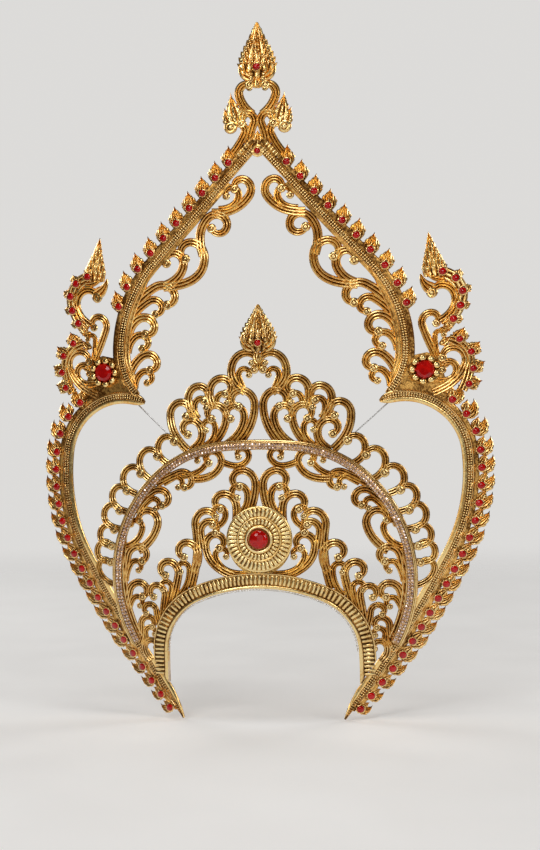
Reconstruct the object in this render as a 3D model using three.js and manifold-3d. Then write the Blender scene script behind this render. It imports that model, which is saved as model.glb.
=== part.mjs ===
// Thai headdress: a gilt openwork tiara on an arched head band, inside a tall pointed surround.
// Millimetres, +Z up, the front faces -Y. The origin is the middle of the head opening, level with the lower
// ends of the band. One half is drawn flat in X and Z, mirrored, and bent back round the head.
import * as THREE from 'three';
import { mergeVertices } from 'three/addons/utils/BufferGeometryUtils.js';
import Module from 'manifold-3d';

const wasm = await Module();
wasm.setup();

// Overall sizes
// The front is bent back round the head, to a radius that grows with the height above the jaw
const BEND = { jaw: 125, top: 325, rise: 150 };
// The flat drawing is a front view from here, so what lies further back is drawn smaller than it is
const EYE = { distance: 1600, height: 117 };
const GAP = 0.3; // clearance between neighbouring pieces
const SHORT_FACET = 2; // no facet of a course is shorter
const HALF_SPACE = { width: 60, depth: 200, height: 1400, z: 300 }; // what the right half is cut with

// Layers, from the front (negative) to the back
const LAYER = {
  chain: [-8.6, -6.4],
  arch: [-6.1, -3.2],
  scroll: [-2.9, 0],
  brow: [-4.7, -1.7],
  bandRim: [-8.4, -5],
  bandField: [-7.4, -5],
  bandSeat: [-8.4, 12],
  rail: [0.3, 5.3],
  strip: [1, 4],
};
const DEEP = [-30, 40]; // through every layer, for cuts

// Courses: plane paths of round runs, each a length and a turn in degrees, walked from a start point;
// step is the length of the straight facets that stand for them
const GABLE = { x: 0, z: 493.5, heading: -48, step: 18, runs: [[148, 0], [86.5, -42], [51, -53.5]] };
const SIDE = {
  x: 106.5, z: 259, heading: 24, step: 16, runs: [[40, -46], [61, -61], [97, -35], [152, -8], [20, 12]],
};
const ARCH = { x: 0, z: 222.5, heading: 0, step: 14, runs: [[32, -5], [67, -37], [171, -78], [18, -8]] };
const BAND = { x: 0, z: 92.7, heading: 0, step: 11, runs: [[58, -24], [57, -64], [36, -4]] };

// Half widths and offsets from the courses, positive to the outside
const GABLE_END = 264; // where the gable rail meets the side rail
const GABLE_SCROLL_START = 44;
const ARCH_END = 268; // where the arch runs onto the side rail
const CREST_END = 78; // where the crest gives way to the loops
const INNER_START = 3;
const BROW_END = 35; // length of band below the brow scrolls
const BAND_JOINT = 200; // from here on, the side rail cuts off the ends of the band
const GABLE_HALF = 3.6;
const GABLE_LEAF_STRIP = [3.9, 7.5];
const GABLE_SCROLL_STRIP = [-6.6, -3.9];
const FINIAL_STRIP = [3.9, 8.5];
const SIDE_HALF = 5.4;
const SIDE_LEAF_STRIP = [5.7, 10.5];
const ARCH_HALF = 4;
const ARCH_FOOT_CUT = 10; // the feet of the scrolls end within this of the arch's middle
const CHAIN_HALF = 3.3;
const BAND_WIDTH = 14;
const BAND_RIM = 3.4;
const BAND_WALL = 2;
const BAND_END_CUT = 56; // width of the cut at its ends
const BROW_STRIP = [2.3, 12.5];
const TRIM = { radius: 0.9, front: -7.2, sides: 6 };

// Tendrils: width at the foot and at the tip, the stem below which one is made slimmer, and by how much;
// share of its radius that a curl keeps at its end, and the least radius there
const TENDRIL = { foot: 5.4, tip: 3.6, shortStem: 14, slimmer: 1.15, inner: 0.3, eye: 2.7 };

// Leaf rows: stations along the rail, distance of the stone from the rail, leaf size and lean;
// the strip under a row runs on past its ends by these shares of the pitch
const GABLE_LEAF = {
  count: 10, first: 30, pitch: 18.3, out: 8.4, length: 21.5, width: 12, lean: [90, 76], lead: 0.45,
};
const SIDE_LEAF = {
  count: 19, first: 59, pitch: 14.8, out: 11, length: 18, width: 10.5, lean: [64, 14], lead: 0.6, tail: 0.8,
};
const LEAVES_AT_SHOULDER = 3; // of each row, near enough to the shoulder to be cut clear of it
const LEAF_FOOT = 0.26; // share of the leaf that lies below its stone

// Rosette and stones
const ROSETTE = { z: 137.2, radius: 30, ribs: 20, back: -5.2, seat: 5.6 };
const ROSETTE_BACKING = { z: 133, radius: 28.5, steps: 8 };
const ROSETTE_PROFILE = table(['radius', 'front', 'groove'], [
  [0, 0, 0],
  [29, 0, 0],
  [ROSETTE.radius, 1.4, 0],
  [28.4, 3.6, 1.2],
  [21, 5, 1.2],
  [19.6, 4.2, 0],
  [12.6, 6.6, 0.9],
  [11.2, ROSETTE.seat, 0],
  [0, ROSETTE.seat, 0],
]);
// Cut stones: shares of the radius at the base and at the table, and share of the height at the girdle
const STONE_CUT = { base: 0.86, table: 0.62, girdle: 0.34 };
const ROSETTE_STONE = { z: ROSETTE.z, radius: 9.2, height: 5, sides: 12 };
const CREST_STONE = { z: 314.5, radius: 2.9, height: 3 };
const FINIAL_STONE = { z: 563, radius: 3.1, height: 3 };
const APEX_STONE = { z: 487, radius: 2.6, height: 2.6 };
const SHOULDER_STONE = { x: 145.8, z: 286, radius: 8.2, height: 7, sides: 12, claw: 12.6 };

// Stay wires
const STAY = { top: [119.5, 8, 262.5], foot: [84, 0.9, 230.5], radius: 0.6, sides: 8 };

// Each tendril rises from its foot, turns at its bend and curls round its eye through the sweep in degrees
// An open hook also gives the share of its radius that is left at its end.
const SCROLL_COLUMNS = ['footX', 'footZ', 'bendX', 'bendZ', 'eyeX', 'eyeZ', 'sweep', 'close'];

const CREST = table(SCROLL_COLUMNS, [
  [12, 269.5, 25, 290.5, 7, 294.5, 250],
  [20, 222, 3.8, 256.5, 18.5, 261.5, -290],
  [30, 222, 13.5, 245.5, 24, 250, -270],
  [46.5, 220, 30, 245, 41.5, 250, -270],
  [54.5, 218, 40, 237.5, 47, 238.5, -250],
  [63.5, 216, 52.5, 235, 64.5, 236, -260],
  [41.5, 255.5, 45, 271, 31.5, 273, 270],
  [56, 245, 65, 261.5, 52.5, 266.5, 270],
  [66, 217, 82, 248.5, 69.5, 252, 260],
]);

const LOOPS = table(SCROLL_COLUMNS, [
  [84.5, 204.5, 94, 217, 82.5, 223, 235],
  [101.5, 190, 111.5, 205, 99, 210.5, 250],
  [114.5, 176.5, 127.5, 189.5, 115, 194.5, 250],
  [123.5, 160, 137.5, 170, 128, 177.5, 250],
  [128.5, 144, 146, 156.5, 135.5, 160.5, 250],
  [132.5, 128.5, 150, 137, 140.5, 142, 240],
  [133, 115, 153, 122.5, 143, 127, 230],
  [133, 92.5, 151.5, 105.5, 144, 111.5, 240],
]);

const INNER = table(SCROLL_COLUMNS, [
  [34, 206.5, 11, 208, 16, 213.5, -270],
  [63, 191, 36, 202.5, 44, 209.5, -280],
  [67.5, 199, 49, 204.5, 53.5, 209, -250],
  [96, 186, 75.5, 196, 68.5, 188, 230],
  [116.5, 160, 99, 179, 90.5, 171.5, 230],
  [111.5, 160, 102.5, 171, 97.5, 167, 220],
  [113.5, 125, 95, 147.5, 105.5, 153.5, -215, 0.6],
  [126, 128, 109.5, 144, 116, 147.5, -190, 0.6],
  [130, 96.5, 124, 119, 111.5, 120.5, 260],
  [129, 69.5, 123, 87.5, 111.5, 88, 260],
  [116, 40, 112.5, 56, 104.5, 59, 250],
  [111.5, 38, 108.5, 47.5, 103, 50.5, 240],
]);

const BROW = table(SCROLL_COLUMNS, [
  [11, 157, 3.4, 184, 18, 189.5, -290],
  [18.5, 158, 10.5, 177.5, 20, 178.5, -270],
  [22, 148, 21, 166.5, 34.5, 169, -270],
  [64, 92, 59, 147.5, 46, 154, 260],
  [51.5, 128, 54, 141.5, 44, 146, 250],
  [33.5, 110, 49.5, 129.5, 38.5, 133.5, 270],
  [18, 106, 40, 119.5, 34, 123.5, 250],
  [64, 92, 56.5, 119.5, 69, 125, -280],
  [74.5, 85, 65, 109, 71.5, 110, -250],
  [82, 78, 75.5, 102.5, 86.5, 108, -280],
  [87.5, 71, 82, 91, 88, 93, -240],
  [91, 64, 88.5, 83.5, 97.5, 87.5, -270],
  [92, 53, 97, 70, 104.5, 71, -240],
]);

const GABLE_SCROLLS = table(SCROLL_COLUMNS, [
  [42.5, 431, 8.5, 445.5, 16, 454.5, -250],
  [36, 434, 18, 444.5, 25, 448.5, -240],
  [50.5, 392.5, 45, 428.5, 33.5, 422, 280, 0.6],
  [88, 364.5, 49.5, 388, 65, 395, -270],
  [86.5, 365.5, 70, 380.5, 80, 388, -240],
  [115, 348.5, 97, 363.5, 85, 353.5, 230],
  [116, 339.5, 102.5, 351, 95.5, 344.5, 230],
  [122, 319.5, 113.5, 334, 104, 326.5, 250],
  [122.5, 304, 116, 318, 108.5, 313, 240],
  [121, 283.5, 110, 300.5, 101, 294, 240],
  [116, 272, 110, 286, 104.5, 281.5, 230],
]);

const SHOULDER = table(SCROLL_COLUMNS, [
  [153, 296, 169, 345.5, 156.5, 352, 230, 0.55],
  [152, 294, 141.5, 323, 152, 328.5, -260],
  [152, 265, 179, 288, 168, 295.5, 215, 0.6],
  [150, 277, 171.5, 281.5, 164, 286.5, 240],
]);

const FINIAL = table(SCROLL_COLUMNS, [
  [4.5, 519.5, 16.5, 536.5, 8, 541, 220],
  [8, 491, 3.5, 511, 10, 515, -250],
  [22.5, 485, 12, 502, 18, 506, -190],
]);

// Single leaves: the foot, the heading of the tip, the length and the greatest width
const LEAF_COLUMNS = ['x', 'z', 'heading', 'length', 'width'];

const SHOULDER_LEAVES = table(LEAF_COLUMNS, [
  [164.5, 359, 55, 14, 9],
  [169, 352.5, 25, 14, 9],
  [169, 343, 0, 13, 9],
  [162, 331, -8, 13, 9],
  [172, 304.5, 65, 15, 10],
  [178, 297, 40, 15, 10],
  [179, 288.5, 12, 15, 10],
  [174, 277.5, -8, 15, 10],
  [147, 264, 92, 15, 13],
]);
const SHOULDER_FLAME = { x: 157.5, z: 355, heading: 97, length: 55, width: 24 };
const CREST_LEAF = { x: 0, z: 303, heading: 90, length: 45.5, width: 33 };
const TOP_LEAF = { x: 0, z: 543.5, heading: 90, length: 58.5, width: 35 };
const FINIAL_SIDE_LEAF = { x: 24, z: 501, heading: 88, length: 37.5, width: 15 };

// Flame leaf outline: share of the length and of the half width
const LEAF_OUTLINE = table(['along', 'half'], [[0, 0.55], [0.33, 1]]);
const FLAME_OUTLINE = table(['along', 'half'], [[0, 0.4], [0.14, 0.78], [0.3, 1], [0.55, 0.66], [0.8, 0.3]]);

// Materials
const gold = () => new THREE.MeshStandardMaterial({ color: 0xc79a3c, roughness: 0.32, metalness: 1 });
const darkGold = () => new THREE.MeshStandardMaterial({ color: 0xb0842f, roughness: 0.38, metalness: 1 });
const silver = () => new THREE.MeshStandardMaterial({ color: 0xc9c6c4, roughness: 0.25, metalness: 1 });
const ruby = () => new THREE.MeshStandardMaterial({ color: 0xa50f1c, roughness: 0.08, metalness: 0 });

function table(columns, rows) {
  return rows.map((row) => Object.fromEntries(columns.map((name, i) => [name, row[i]])));
}

const rad = THREE.MathUtils.degToRad;
const point = (x, z) => new THREE.Vector2(x, z);
const polar = (from, angle, distance) =>
  point(from.x + distance * Math.cos(angle), from.y + distance * Math.sin(angle));

// A course answers with the place and heading at any distance along it.
function makeCourse({ x, z, heading, runs, step }) {
  const legs = [];
  let here = { x, z, heading: rad(heading) };
  let length = 0;
  for (const [run, turn] of runs) {
    legs.push({ start: length, run, turn: rad(turn), here });
    here = advance(here, run, rad(turn));
    length += run;
  }
  const at = (s) => {
    const leg = legs.findLast((l) => s >= l.start) ?? legs[0];
    const along = s - leg.start;
    return advance(leg.here, along, (leg.turn * along) / leg.run);
  };
  return { length, step, at };
}

function advance({ x, z, heading }, run, turn) {
  const end = heading + turn;
  if (Math.abs(turn) < 1e-9) {
    return { x: x + run * Math.cos(end), z: z + run * Math.sin(end), heading };
  }
  const radius = run / turn;
  return {
    x: x + radius * (Math.sin(end) - Math.sin(heading)),
    z: z - radius * (Math.cos(end) - Math.cos(heading)),
    heading: end,
  };
}

function offset(course, s, out) {
  const here = course.at(s);
  return polar(point(here.x, here.z), here.heading + Math.PI / 2, out);
}

// A strip along a course, between two offsets and two layers: a box laid along the course.
// Strips on one course share its stations, so that their edges stay parallel.
function strip(course, from, to, [low, high], [front, back]) {
  const stations = [from];
  const first = Math.ceil((from + SHORT_FACET) / course.step) * course.step;
  for (let s = first; s < to - SHORT_FACET; s += course.step) {
    stations.push(s);
  }
  stations.push(to);
  const steps = stations.length - 1;
  const geometry = new THREE.BoxGeometry(steps, 1, 1, steps, 1, 1);
  const position = geometry.getAttribute('position');
  for (let i = 0; i < position.count; i += 1) {
    const s = stations[Math.round(position.getX(i) + steps / 2)];
    const place = offset(course, s, position.getY(i) > 0 ? high : low);
    position.setXYZ(i, place.x, position.getZ(i) > 0 ? front : back, place.y);
  }
  return solid(geometry);
}

// A flat plate of the outline, between two layers
function plate(outline, [front, back]) {
  const shape = new THREE.Shape(outline);
  const geometry = new THREE.ExtrudeGeometry(shape, { depth: back - front, bevelEnabled: false });
  geometry.rotateX(Math.PI / 2);
  geometry.translate(0, back, 0);
  return solid(geometry);
}

function solid(geometry) {
  const bare = new THREE.BufferGeometry();
  bare.setAttribute('position', geometry.getAttribute('position'));
  if (geometry.index) bare.setIndex(geometry.index);
  const merged = mergeVertices(bare, 1e-4);
  const vertProperties = new Float32Array(merged.getAttribute('position').array);
  const triVerts = new Uint32Array(merged.index.array);
  return new wasm.Manifold(new wasm.Mesh({ numProp: 3, vertProperties, triVerts }));
}

const join = (solids) => solids.reduce((whole, next) => whole.add(next));
const trim = (solids, cuts) => cuts.reduce((whole, cut) => whole.subtract(cut), join(solids));

// Centre line of a tendril: a bowed stem, then a curl whose radius eases in round the eye
function tendrilLine(row, stemSteps, curlSteps) {
  const foot = point(row.footX, row.footZ);
  const bend = point(row.bendX, row.bendZ);
  const eye = point(row.eyeX, row.eyeZ);
  const spoke = bend.clone().sub(eye);
  const start = spoke.angle();
  const first = spoke.length();
  const last = Math.max((row.close ?? TENDRIL.inner) * first, TENDRIL.eye);
  const sweep = rad(row.sweep);
  const curl = (t) => polar(eye, start + sweep * t, last + (first - last) * (1 - t) ** 2);
  const arrive = curl(0.01).sub(curl(0)).normalize();
  const knee = bend.clone().addScaledVector(arrive, -0.5 * foot.distanceTo(bend));
  const stem = new THREE.QuadraticBezierCurve(foot, knee, bend).getPoints(stemSteps);
  const turns = Array.from({ length: curlSteps }, (_, i) => curl((i + 1) / curlSteps));
  return [...stem, ...turns];
}

function tendril(row, layer, grow = 0) {
  const small = Math.hypot(row.footX - row.bendX, row.footZ - row.bendZ) < TENDRIL.shortStem;
  const stemSteps = small ? 1 : 2;
  const line = tendrilLine(row, stemSteps, small ? 3 : 4);
  const half = (i) => {
    const t = i / (line.length - 1);
    const width = THREE.MathUtils.lerp(TENDRIL.foot, TENDRIL.tip, t);
    return width / (small ? TENDRIL.slimmer : 1) / 2 + grow;
  };
  const headings = line.map((_, i) => {
    const before = line[Math.max(i - 1, 0)];
    const after = line[Math.min(i + 1, line.length - 1)];
    return after.clone().sub(before).angle();
  });
  const side = (i, sign) => polar(line[i], headings[i] + (sign * Math.PI) / 2, half(i));
  const cut = stemSteps + 1;
  const ends = [[0, cut], [cut, line.length - 1]];
  const parts = ends.map(([from, to]) => {
    const index = Array.from({ length: to - from + 1 }, (_, i) => from + i);
    const left = index.map((i) => side(i, 1));
    const right = index.map((i) => side(i, -1)).reverse();
    return plate([...left, ...right], layer);
  });
  return join(parts);
}

function leafOutline({ x, z, heading, length, width }, grow = 0, outline = LEAF_OUTLINE) {
  const foot = point(x, z);
  const along = rad(heading);
  const edge = (sign) =>
    outline.map((row) => {
      const axis = polar(foot, along, row.along * length);
      return polar(axis, along + (sign * Math.PI) / 2, (row.half * width) / 2 + grow);
    });
  return [...edge(1), polar(foot, along, length + grow), ...edge(-1).reverse()];
}

// A row of leaves along a rail, by the places of their stones
function leafRow(course, { count, first, pitch, out, length, width, lean }) {
  return Array.from({ length: count }, (_, i) => {
    const heading = lean[0] + ((lean[1] - lean[0]) * i) / (count - 1);
    const stone = offset(course, first + pitch * i, out);
    const foot = polar(stone, rad(heading), -LEAF_FOOT * length);
    return { x: foot.x, z: foot.y, heading, length, width };
  });
}

// A faceted stone: girdle, crown and table, with its axis along Y
function cutStone({ x = 0, z, radius, height, sides = 8 }, back) {
  const profile = [
    point(0, 0),
    point(radius * STONE_CUT.base, 0),
    point(radius, height * STONE_CUT.girdle),
    point(radius * STONE_CUT.table, height),
    point(0, height),
  ];
  const geometry = new THREE.LatheGeometry(profile, sides);
  geometry.rotateY(Math.PI / sides);
  geometry.scale(1, -1, 1);
  geometry.translate(x, back, z);
  return solid(flipped(geometry));
}

function flipped(geometry) {
  const index = geometry.index.array;
  for (let i = 0; i < index.length; i += 3) {
    [index[i], index[i + 1]] = [index[i + 1], index[i]];
  }
  return geometry;
}

function sweepBack(x, z) {
  const share = THREE.MathUtils.smoothstep(z, 0, BEND.rise);
  const radius = BEND.jaw + (BEND.top - BEND.jaw) * share;
  return x ** 2 / (2 * radius);
}

// A named mesh of a flat-drawn solid, bent back round the head
function mesh(name, body, material) {
  const { numProp, vertProperties, triVerts } = body.getMesh();
  const position = new Float32Array((vertProperties.length / numProp) * 3);
  for (let i = 0; i < position.length / 3; i += 1) {
    const [x, y, z] = vertProperties.subarray(i * numProp, i * numProp + 3);
    const back = y + sweepBack(x, z);
    const scale = 1 + back / EYE.distance;
    position.set([x * scale, back, EYE.height + (z - EYE.height) * scale], i * 3);
  }
  const geometry = new THREE.BufferGeometry();
  geometry.setAttribute('position', new THREE.BufferAttribute(position, 3));
  geometry.setIndex(new THREE.BufferAttribute(new Uint32Array(triVerts), 1));
  geometry.computeVertexNormals();
  const made = new THREE.Mesh(geometry, material);
  made.name = name;
  return made;
}

const group = new THREE.Group();
group.name = 'thai_headdress';

function addCentre(name, body, material) {
  group.add(mesh(name, body, material));
}

// The right half and its mirror image
function addPair(name, body, material) {
  group.add(mesh(`${name}_right`, body, material));
  const left = mesh(`${name}_left`, body, material.clone());
  left.scale.x = -1;
  group.add(left);
}

const gable = makeCourse(GABLE);
const side = makeCourse(SIDE);
const arch = makeCourse(ARCH);
const band = makeCourse(BAND);
const grown = ([low, high]) => [low - GAP, high + GAP];

// The mirror plane keeps half a gap on each side.
const otherHalf = solid(
  new THREE.BoxGeometry(HALF_SPACE.width, HALF_SPACE.depth, HALF_SPACE.height)
    .translate((GAP - HALF_SPACE.width) / 2, 0, HALF_SPACE.z),
);

// Surround: rails, leaf strips and scrolls
const sideRail = strip(side, 0, side.length, [-SIDE_HALF, SIDE_HALF], LAYER.rail);
const sideClear = strip(side, 0, side.length, grown([-SIDE_HALF, SIDE_HALF]), DEEP);
addPair('side_rail', sideRail, gold());

const gableRail = strip(gable, 0, GABLE_END, [-GABLE_HALF, GABLE_HALF], LAYER.rail);
const gableClear = strip(gable, 0, gable.length, grown([-GABLE_HALF, GABLE_HALF]), DEEP);
addPair('gable_rail', gableRail.subtract(sideClear).subtract(otherHalf), gold());

const gableLeafStart = GABLE_LEAF.first - GABLE_LEAF.pitch * GABLE_LEAF.lead;
const gableLeaves = leafRow(gable, GABLE_LEAF).map((leaf) => plate(leafOutline(leaf), LAYER.strip));
const gableLeafStrip = strip(gable, gableLeafStart, GABLE_END, GABLE_LEAF_STRIP, LAYER.strip);
const gableLeafBody = gableLeafStrip.add(trim(gableLeaves, [gableClear]));
addPair('gable_leaves', gableLeafBody.subtract(sideClear), gold());

const sideLeafStart = SIDE_LEAF.first - SIDE_LEAF.pitch * SIDE_LEAF.lead;
const sideLeafEnd = SIDE_LEAF.first + SIDE_LEAF.pitch * (SIDE_LEAF.count - 1 + SIDE_LEAF.tail);
const sideLeaves = leafRow(side, SIDE_LEAF).map((leaf) => plate(leafOutline(leaf), LAYER.strip));
const sideLeafStrip = strip(side, sideLeafStart, sideLeafEnd, SIDE_LEAF_STRIP, LAYER.strip);
addPair('side_leaves', sideLeafStrip.add(trim(sideLeaves, [sideClear])), gold());

const gableScrollStrip = strip(gable, GABLE_SCROLL_START, GABLE_END, GABLE_SCROLL_STRIP, LAYER.strip);
const gableScrolls = GABLE_SCROLLS.map((row) => tendril(row, LAYER.strip));
const gableScrollBody = gableScrollStrip.add(trim(gableScrolls, [gableClear]));
addPair('gable_scrolls', gableScrollBody.subtract(sideClear), darkGold());

// Shoulders
const clawDisc = ({ x, z, claw, sides }) =>
  Array.from({ length: sides }, (_, i) => polar(point(x, z), (i / sides) * 2 * Math.PI, claw));
const sideLeafClear = join([
  strip(side, sideLeafStart - GAP, sideLeafEnd, grown(SIDE_LEAF_STRIP), DEEP),
  ...leafRow(side, SIDE_LEAF).slice(0, LEAVES_AT_SHOULDER).map((leaf) => plate(leafOutline(leaf, GAP), DEEP)),
]);
const gableLeafClear = join([
  strip(gable, gableLeafStart - GAP, GABLE_END, grown(GABLE_LEAF_STRIP), DEEP),
  ...leafRow(gable, GABLE_LEAF).slice(-LEAVES_AT_SHOULDER).map((leaf) => plate(leafOutline(leaf, GAP), DEEP)),
]);
const shoulder = [
  plate(clawDisc(SHOULDER_STONE), LAYER.strip),
  ...SHOULDER.map((row) => tendril(row, LAYER.strip)),
  ...SHOULDER_LEAVES.map((leaf) => plate(leafOutline(leaf), LAYER.strip)),
  plate(leafOutline(SHOULDER_FLAME, 0, FLAME_OUTLINE), LAYER.strip),
];
const shoulderClear = [sideClear, gableClear, sideLeafClear, gableLeafClear];
addPair('shoulder_scroll', trim(shoulder, shoulderClear), gold());
addPair('shoulder_stone', cutStone(SHOULDER_STONE, LAYER.strip[0] - GAP), ruby());

// Top finial
const finialStrip = strip(gable, 0, gableLeafStart - GAP, FINIAL_STRIP, LAYER.strip);
const mirrored = (body) => {
  const { vertProperties, triVerts } = body.getMesh();
  const geometry = new THREE.BufferGeometry();
  geometry.setAttribute('position', new THREE.BufferAttribute(new Float32Array(vertProperties), 3));
  geometry.setIndex(new THREE.BufferAttribute(new Uint32Array(triVerts), 1));
  return solid(flipped(geometry.scale(-1, 1, 1)));
};
const firstLeafClear = plate(leafOutline(leafRow(gable, GABLE_LEAF)[0], GAP), DEEP);
const finialParts = [
  ...FINIAL.map((row) => tendril(row, LAYER.strip)),
  plate(leafOutline(FINIAL_SIDE_LEAF), LAYER.strip),
];
const finialHalf = finialStrip.add(trim(finialParts, [gableClear, gableLeafClear, firstLeafClear]));
const finialLeaf = plate(leafOutline(TOP_LEAF, 0, FLAME_OUTLINE), LAYER.strip);
addCentre('top_finial', join([finialHalf, mirrored(finialHalf), finialLeaf]), gold());
addCentre('top_finial_stone', cutStone(FINIAL_STONE, LAYER.strip[0] - GAP), ruby());
addCentre('apex_stone', cutStone(APEX_STONE, LAYER.rail[0] - GAP), ruby());

// Tiara: arch, chain, loops and scrolls
const archHalf = strip(arch, 0, ARCH_END, [-ARCH_HALF, ARCH_HALF], LAYER.arch);
addCentre('tiara_arch', archHalf.add(mirrored(archHalf)), gold());
const chainHalf = strip(arch, 0, ARCH_END, [-CHAIN_HALF, CHAIN_HALF], LAYER.chain);
addCentre('rhinestone_chain', chainHalf.add(mirrored(chainHalf)), silver());

const crestStrip = strip(arch, 0, CREST_END, [GAP / 2, ARCH_HALF], LAYER.scroll);
const crest = CREST.map((row) => tendril(row, LAYER.scroll));
const underArch = strip(arch, 0, ARCH_END, [-ARCH_FOOT_CUT, GAP / 2], DEEP);
addPair('crest_scrolls', crestStrip.add(trim(crest, [underArch])).subtract(otherHalf), gold());

const loopStrip = strip(arch, CREST_END + GAP, ARCH_END, [GAP / 2, ARCH_HALF], LAYER.scroll);
const loops = LOOPS.map((row) => tendril(row, LAYER.scroll));
const crestClear = join([
  strip(arch, 0, CREST_END + GAP, [GAP / 2, ARCH_HALF + GAP], DEEP),
  tendril(CREST.at(-1), DEEP, GAP),
]);
addPair('arch_loops', loopStrip.add(trim(loops, [underArch, crestClear])), gold());

const innerStrip = strip(arch, INNER_START, ARCH_END, [-ARCH_HALF, -GAP / 2], LAYER.scroll);
const inner = INNER.map((row) => tendril(row, LAYER.scroll));
const overArch = strip(arch, 0, ARCH_END, [-GAP / 2, ARCH_FOOT_CUT], DEEP);
addPair('inner_scrolls', innerStrip.add(trim(inner, [overArch])), gold());

addCentre('crest_leaf', plate(leafOutline(CREST_LEAF, 0, FLAME_OUTLINE), LAYER.arch), gold());
addCentre('crest_leaf_stone', cutStone(CREST_STONE, LAYER.arch[0] - GAP), ruby());

// Head band with its rim, seat flange and bead trim
const bandHalf = join([
  strip(band, 0, band.length, [0, BAND_RIM], LAYER.bandRim),
  strip(band, 0, band.length, [BAND_RIM, BAND_WIDTH], LAYER.bandField),
  strip(band, 0, band.length, [0, BAND_WALL], LAYER.bandSeat),
]).subtract(strip(side, BAND_JOINT, side.length, [-SIDE_HALF - GAP, BAND_END_CUT], DEEP));
addCentre('head_band', bandHalf.add(mirrored(bandHalf)), gold());

// A round rod of the radius through the places
function rod(places, radius, sides) {
  const section = new THREE.Shape().absarc(0, 0, radius, 0, 2 * Math.PI);
  const extrudePath = new THREE.CatmullRomCurve3(places);
  const steps = places.length - 1;
  return solid(new THREE.ExtrudeGeometry(section, {
    steps, extrudePath, bevelEnabled: false, curveSegments: sides / 2,
  }));
}

const trimSteps = Math.round((band.length - BROW_END) / band.step);
const trimPlaces = Array.from({ length: 2 * trimSteps + 1 }, (_, i) => {
  const along = (i / trimSteps - 1) * (band.length - BROW_END);
  const place = offset(band, Math.abs(along), -TRIM.radius - GAP);
  return new THREE.Vector3(Math.sign(along) * place.x, TRIM.front, place.y);
});
addCentre('band_bead_trim', rod(trimPlaces, TRIM.radius, TRIM.sides), silver());

// Brow scrolls on a strip behind the band and on a half disc behind the rosette
const browStrip = strip(band, 0, band.length - BROW_END, BROW_STRIP, LAYER.brow);
const halfDisc = Array.from({ length: ROSETTE_BACKING.steps + 1 }, (_, i) => {
  const angle = (i / ROSETTE_BACKING.steps - 0.5) * Math.PI;
  return polar(point(0, ROSETTE_BACKING.z), angle, ROSETTE_BACKING.radius);
});
const brow = join([
  browStrip,
  plate(halfDisc, LAYER.brow),
  ...BROW.map((row) => tendril(row, LAYER.brow)),
]);
addPair('brow_scrolls', brow.subtract(otherHalf).subtract(sideClear), gold());

// Rosette: two rings of radial ribs round a stone
function ribbedDisc(profile, { ribs, back, z }) {
  const geometry = new THREE.LatheGeometry(profile.map((row) => point(row.radius, row.front)), 2 * ribs);
  const position = geometry.getAttribute('position');
  for (let i = 0; i < position.count; i += 1) {
    const isGroove = Math.floor(i / profile.length) % 2;
    const { front, groove } = profile[i % profile.length];
    position.setY(i, -front + isGroove * groove);
  }
  return solid(flipped(geometry.translate(0, back, z)));
}
addCentre('rosette', ribbedDisc(ROSETTE_PROFILE, ROSETTE), gold());
addCentre('rosette_stone', cutStone(ROSETTE_STONE, ROSETTE.back - ROSETTE.seat - GAP), ruby());

// Stay wires, from the back of the side rail to the back of the first loop
const stayPlaces = [STAY.top, STAY.foot].map((place) => new THREE.Vector3(...place));
addPair('stay', rod(stayPlaces, STAY.radius, STAY.sides), silver());

export default group;
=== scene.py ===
# %% [markdown]
# # A Thai headdress, step by step
# The real object is a gilt openwork crown. A tiara of cast tendrils stands on an arched head band, inside
# a tall pointed surround with rows of flame leaves and red glass stones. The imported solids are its
# construction, and this lesson gives each of them its finished surface. First come the frame and the box
# that the solids fill.

# %% Load the frame
import cmath
import math
from collections import namedtuple

import bmesh
import bpy
import numpy as np
from mathutils import Matrix, Vector


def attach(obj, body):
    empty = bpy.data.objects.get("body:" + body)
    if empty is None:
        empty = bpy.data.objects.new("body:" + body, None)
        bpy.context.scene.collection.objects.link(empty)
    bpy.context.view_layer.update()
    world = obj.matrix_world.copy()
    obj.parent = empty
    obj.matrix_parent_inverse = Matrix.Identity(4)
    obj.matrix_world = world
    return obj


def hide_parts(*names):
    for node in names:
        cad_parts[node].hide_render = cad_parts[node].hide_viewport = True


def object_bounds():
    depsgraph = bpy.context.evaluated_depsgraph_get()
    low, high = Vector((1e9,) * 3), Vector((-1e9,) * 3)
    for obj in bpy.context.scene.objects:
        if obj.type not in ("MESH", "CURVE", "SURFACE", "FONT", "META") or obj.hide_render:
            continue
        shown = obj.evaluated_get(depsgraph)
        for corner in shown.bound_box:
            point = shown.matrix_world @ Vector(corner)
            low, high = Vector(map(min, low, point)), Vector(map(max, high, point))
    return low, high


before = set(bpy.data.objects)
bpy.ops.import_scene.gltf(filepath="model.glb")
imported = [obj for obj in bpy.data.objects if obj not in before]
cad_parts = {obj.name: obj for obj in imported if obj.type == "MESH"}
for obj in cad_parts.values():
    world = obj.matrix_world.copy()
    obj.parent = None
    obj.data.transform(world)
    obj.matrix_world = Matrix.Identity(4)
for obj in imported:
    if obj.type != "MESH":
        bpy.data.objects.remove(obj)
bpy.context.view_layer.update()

# %% [markdown]
# ## The camera
# The camera stands where the photograph was taken from: 1.6 m away, level with the middle of the
# headdress and a little to the right. It looks almost straight ahead, so upright lines stay upright, and
# it leans by less than half a degree. A constraint could aim it, but a turn, a tilt, a pan and a roll can
# be set one at a time.

# %% Camera
VIEW_TURN = math.radians(6.5)
VIEW_TILT = math.radians(0.2)
VIEW_PAN = math.radians(0.35)
VIEW_ROLL = math.radians(-0.4)
VIEW_DISTANCE = 1.6
VIEW_HEIGHT = 0.234
LENS, SENSOR = 75.2, 36

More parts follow.
